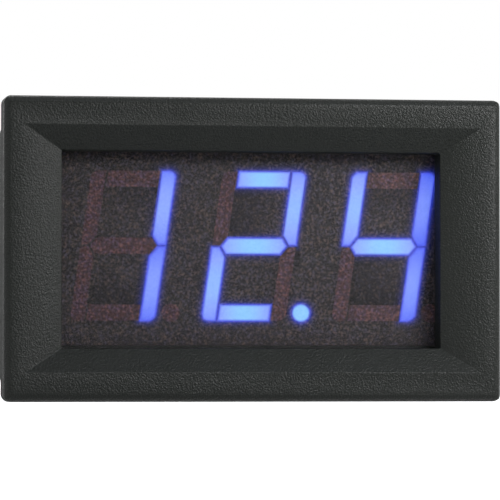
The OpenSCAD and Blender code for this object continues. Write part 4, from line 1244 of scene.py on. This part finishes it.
def lamp(name, place, aim, size, watts, colour=(1, 1, 1)):
    """One soft square lamp aimed at a point, in mm."""
    data = bpy.data.lights.new(name, "AREA")
    data.shape, data.size, data.size_y = "RECTANGLE", size[0] * MM, size[1] * MM
    data.energy, data.color = watts, colour
    made = bpy.data.objects.new(name, data)
    made.location = Vector(place) * MM
    made.rotation_euler = (Vector(aim) - Vector(place)).to_track_quat("-Z", "Y").to_euler()
    made.visible_camera = False
    bpy.context.scene.collection.objects.link(made)


def white_rays(tree):
    """1 for the rays that see the surroundings white: from the camera, through glass and from glossy surfaces."""
    ray = step(tree, "ShaderNodeLightPath").outputs
    direct = calc(tree, "MAXIMUM", ray["Is Camera Ray"], ray["Is Transmission Ray"])
    return calc(tree, "MAXIMUM", direct, ray["Is Glossy Ray"])


def surroundings():
    world = bpy.data.worlds.new("studio")
    bpy.context.scene.world = world
    world.use_nodes = True
    tree = world.node_tree
    tree.nodes.clear()
    white = step(tree, "ShaderNodeBackground", {"Color": (1, 1, 1, 1), "Strength": 1.0})
    soft = step(tree, "ShaderNodeBackground", {"Color": (0.95, 0.98, 1.0, 1), "Strength": 0.3})
    both = step(tree, "ShaderNodeMixShader", {0: white_rays(tree), 1: soft.outputs[0], 2: white.outputs[0]})
    out = step(tree, "ShaderNodeOutputWorld")
    tree.links.new(both.outputs[0], out.inputs[0])


def floor():
    low, _ = cad_box
    work = bmesh.new()
    bmesh.ops.create_grid(work, x_segments=1, y_segments=1, size=FLOOR_SIDE / 2)
    mesh = bpy.data.meshes.new("floor")
    work.to_mesh(mesh)
    work.free()
    made = bpy.data.objects.new("floor", mesh)
    made.location.z = low.z
    bpy.context.scene.collection.objects.link(made)
    material, tree, shader = finish("pale floor", Roughness=0.8, Emission_Color=(1, 1, 1, 1))
    shader.inputs["Base Color"].default_value = (0.82, 0.82, 0.82, 1)
    feed(tree, shader, Emission_Strength=calc(tree, "MULTIPLY", white_rays(tree), 0.55))
    mesh.materials.append(material)


surroundings()
floor()
lamp("right side lamp", (75, -70, 40), (-20, -2, 8), (30, 30), 0.100)
lamp("upper right lamp", (60, -130, 50), (15, -3, 8), (34, 34), 0.095)
lamp("upper front lamp", (60, -206, 334), (0, -2, 0), (150, 150), 0.30, (0.84, 0.91, 1.0))
lamp("left lamp", (-330, -130, 60), (-20, 0, 0), (150, 150), 0.16)
lamp("back lamp", (-120, 400, 200), (0, 10, 0), (300, 300), 1.2)

camera = bpy.data.objects.new("camera", bpy.data.cameras.new("camera"))
camera.data.sensor_width, camera.data.lens = SENSOR, LENS
camera.data.clip_start, camera.data.clip_end = 0.01, 20
camera.matrix_world = Matrix.Translation(CAMERA_PLACE) @ Matrix(CAMERA_AXES).transposed().to_4x4()
bpy.context.scene.collection.objects.link(camera)
bpy.context.scene.camera = camera
bpy.context.scene.view_settings.view_transform = "Standard"
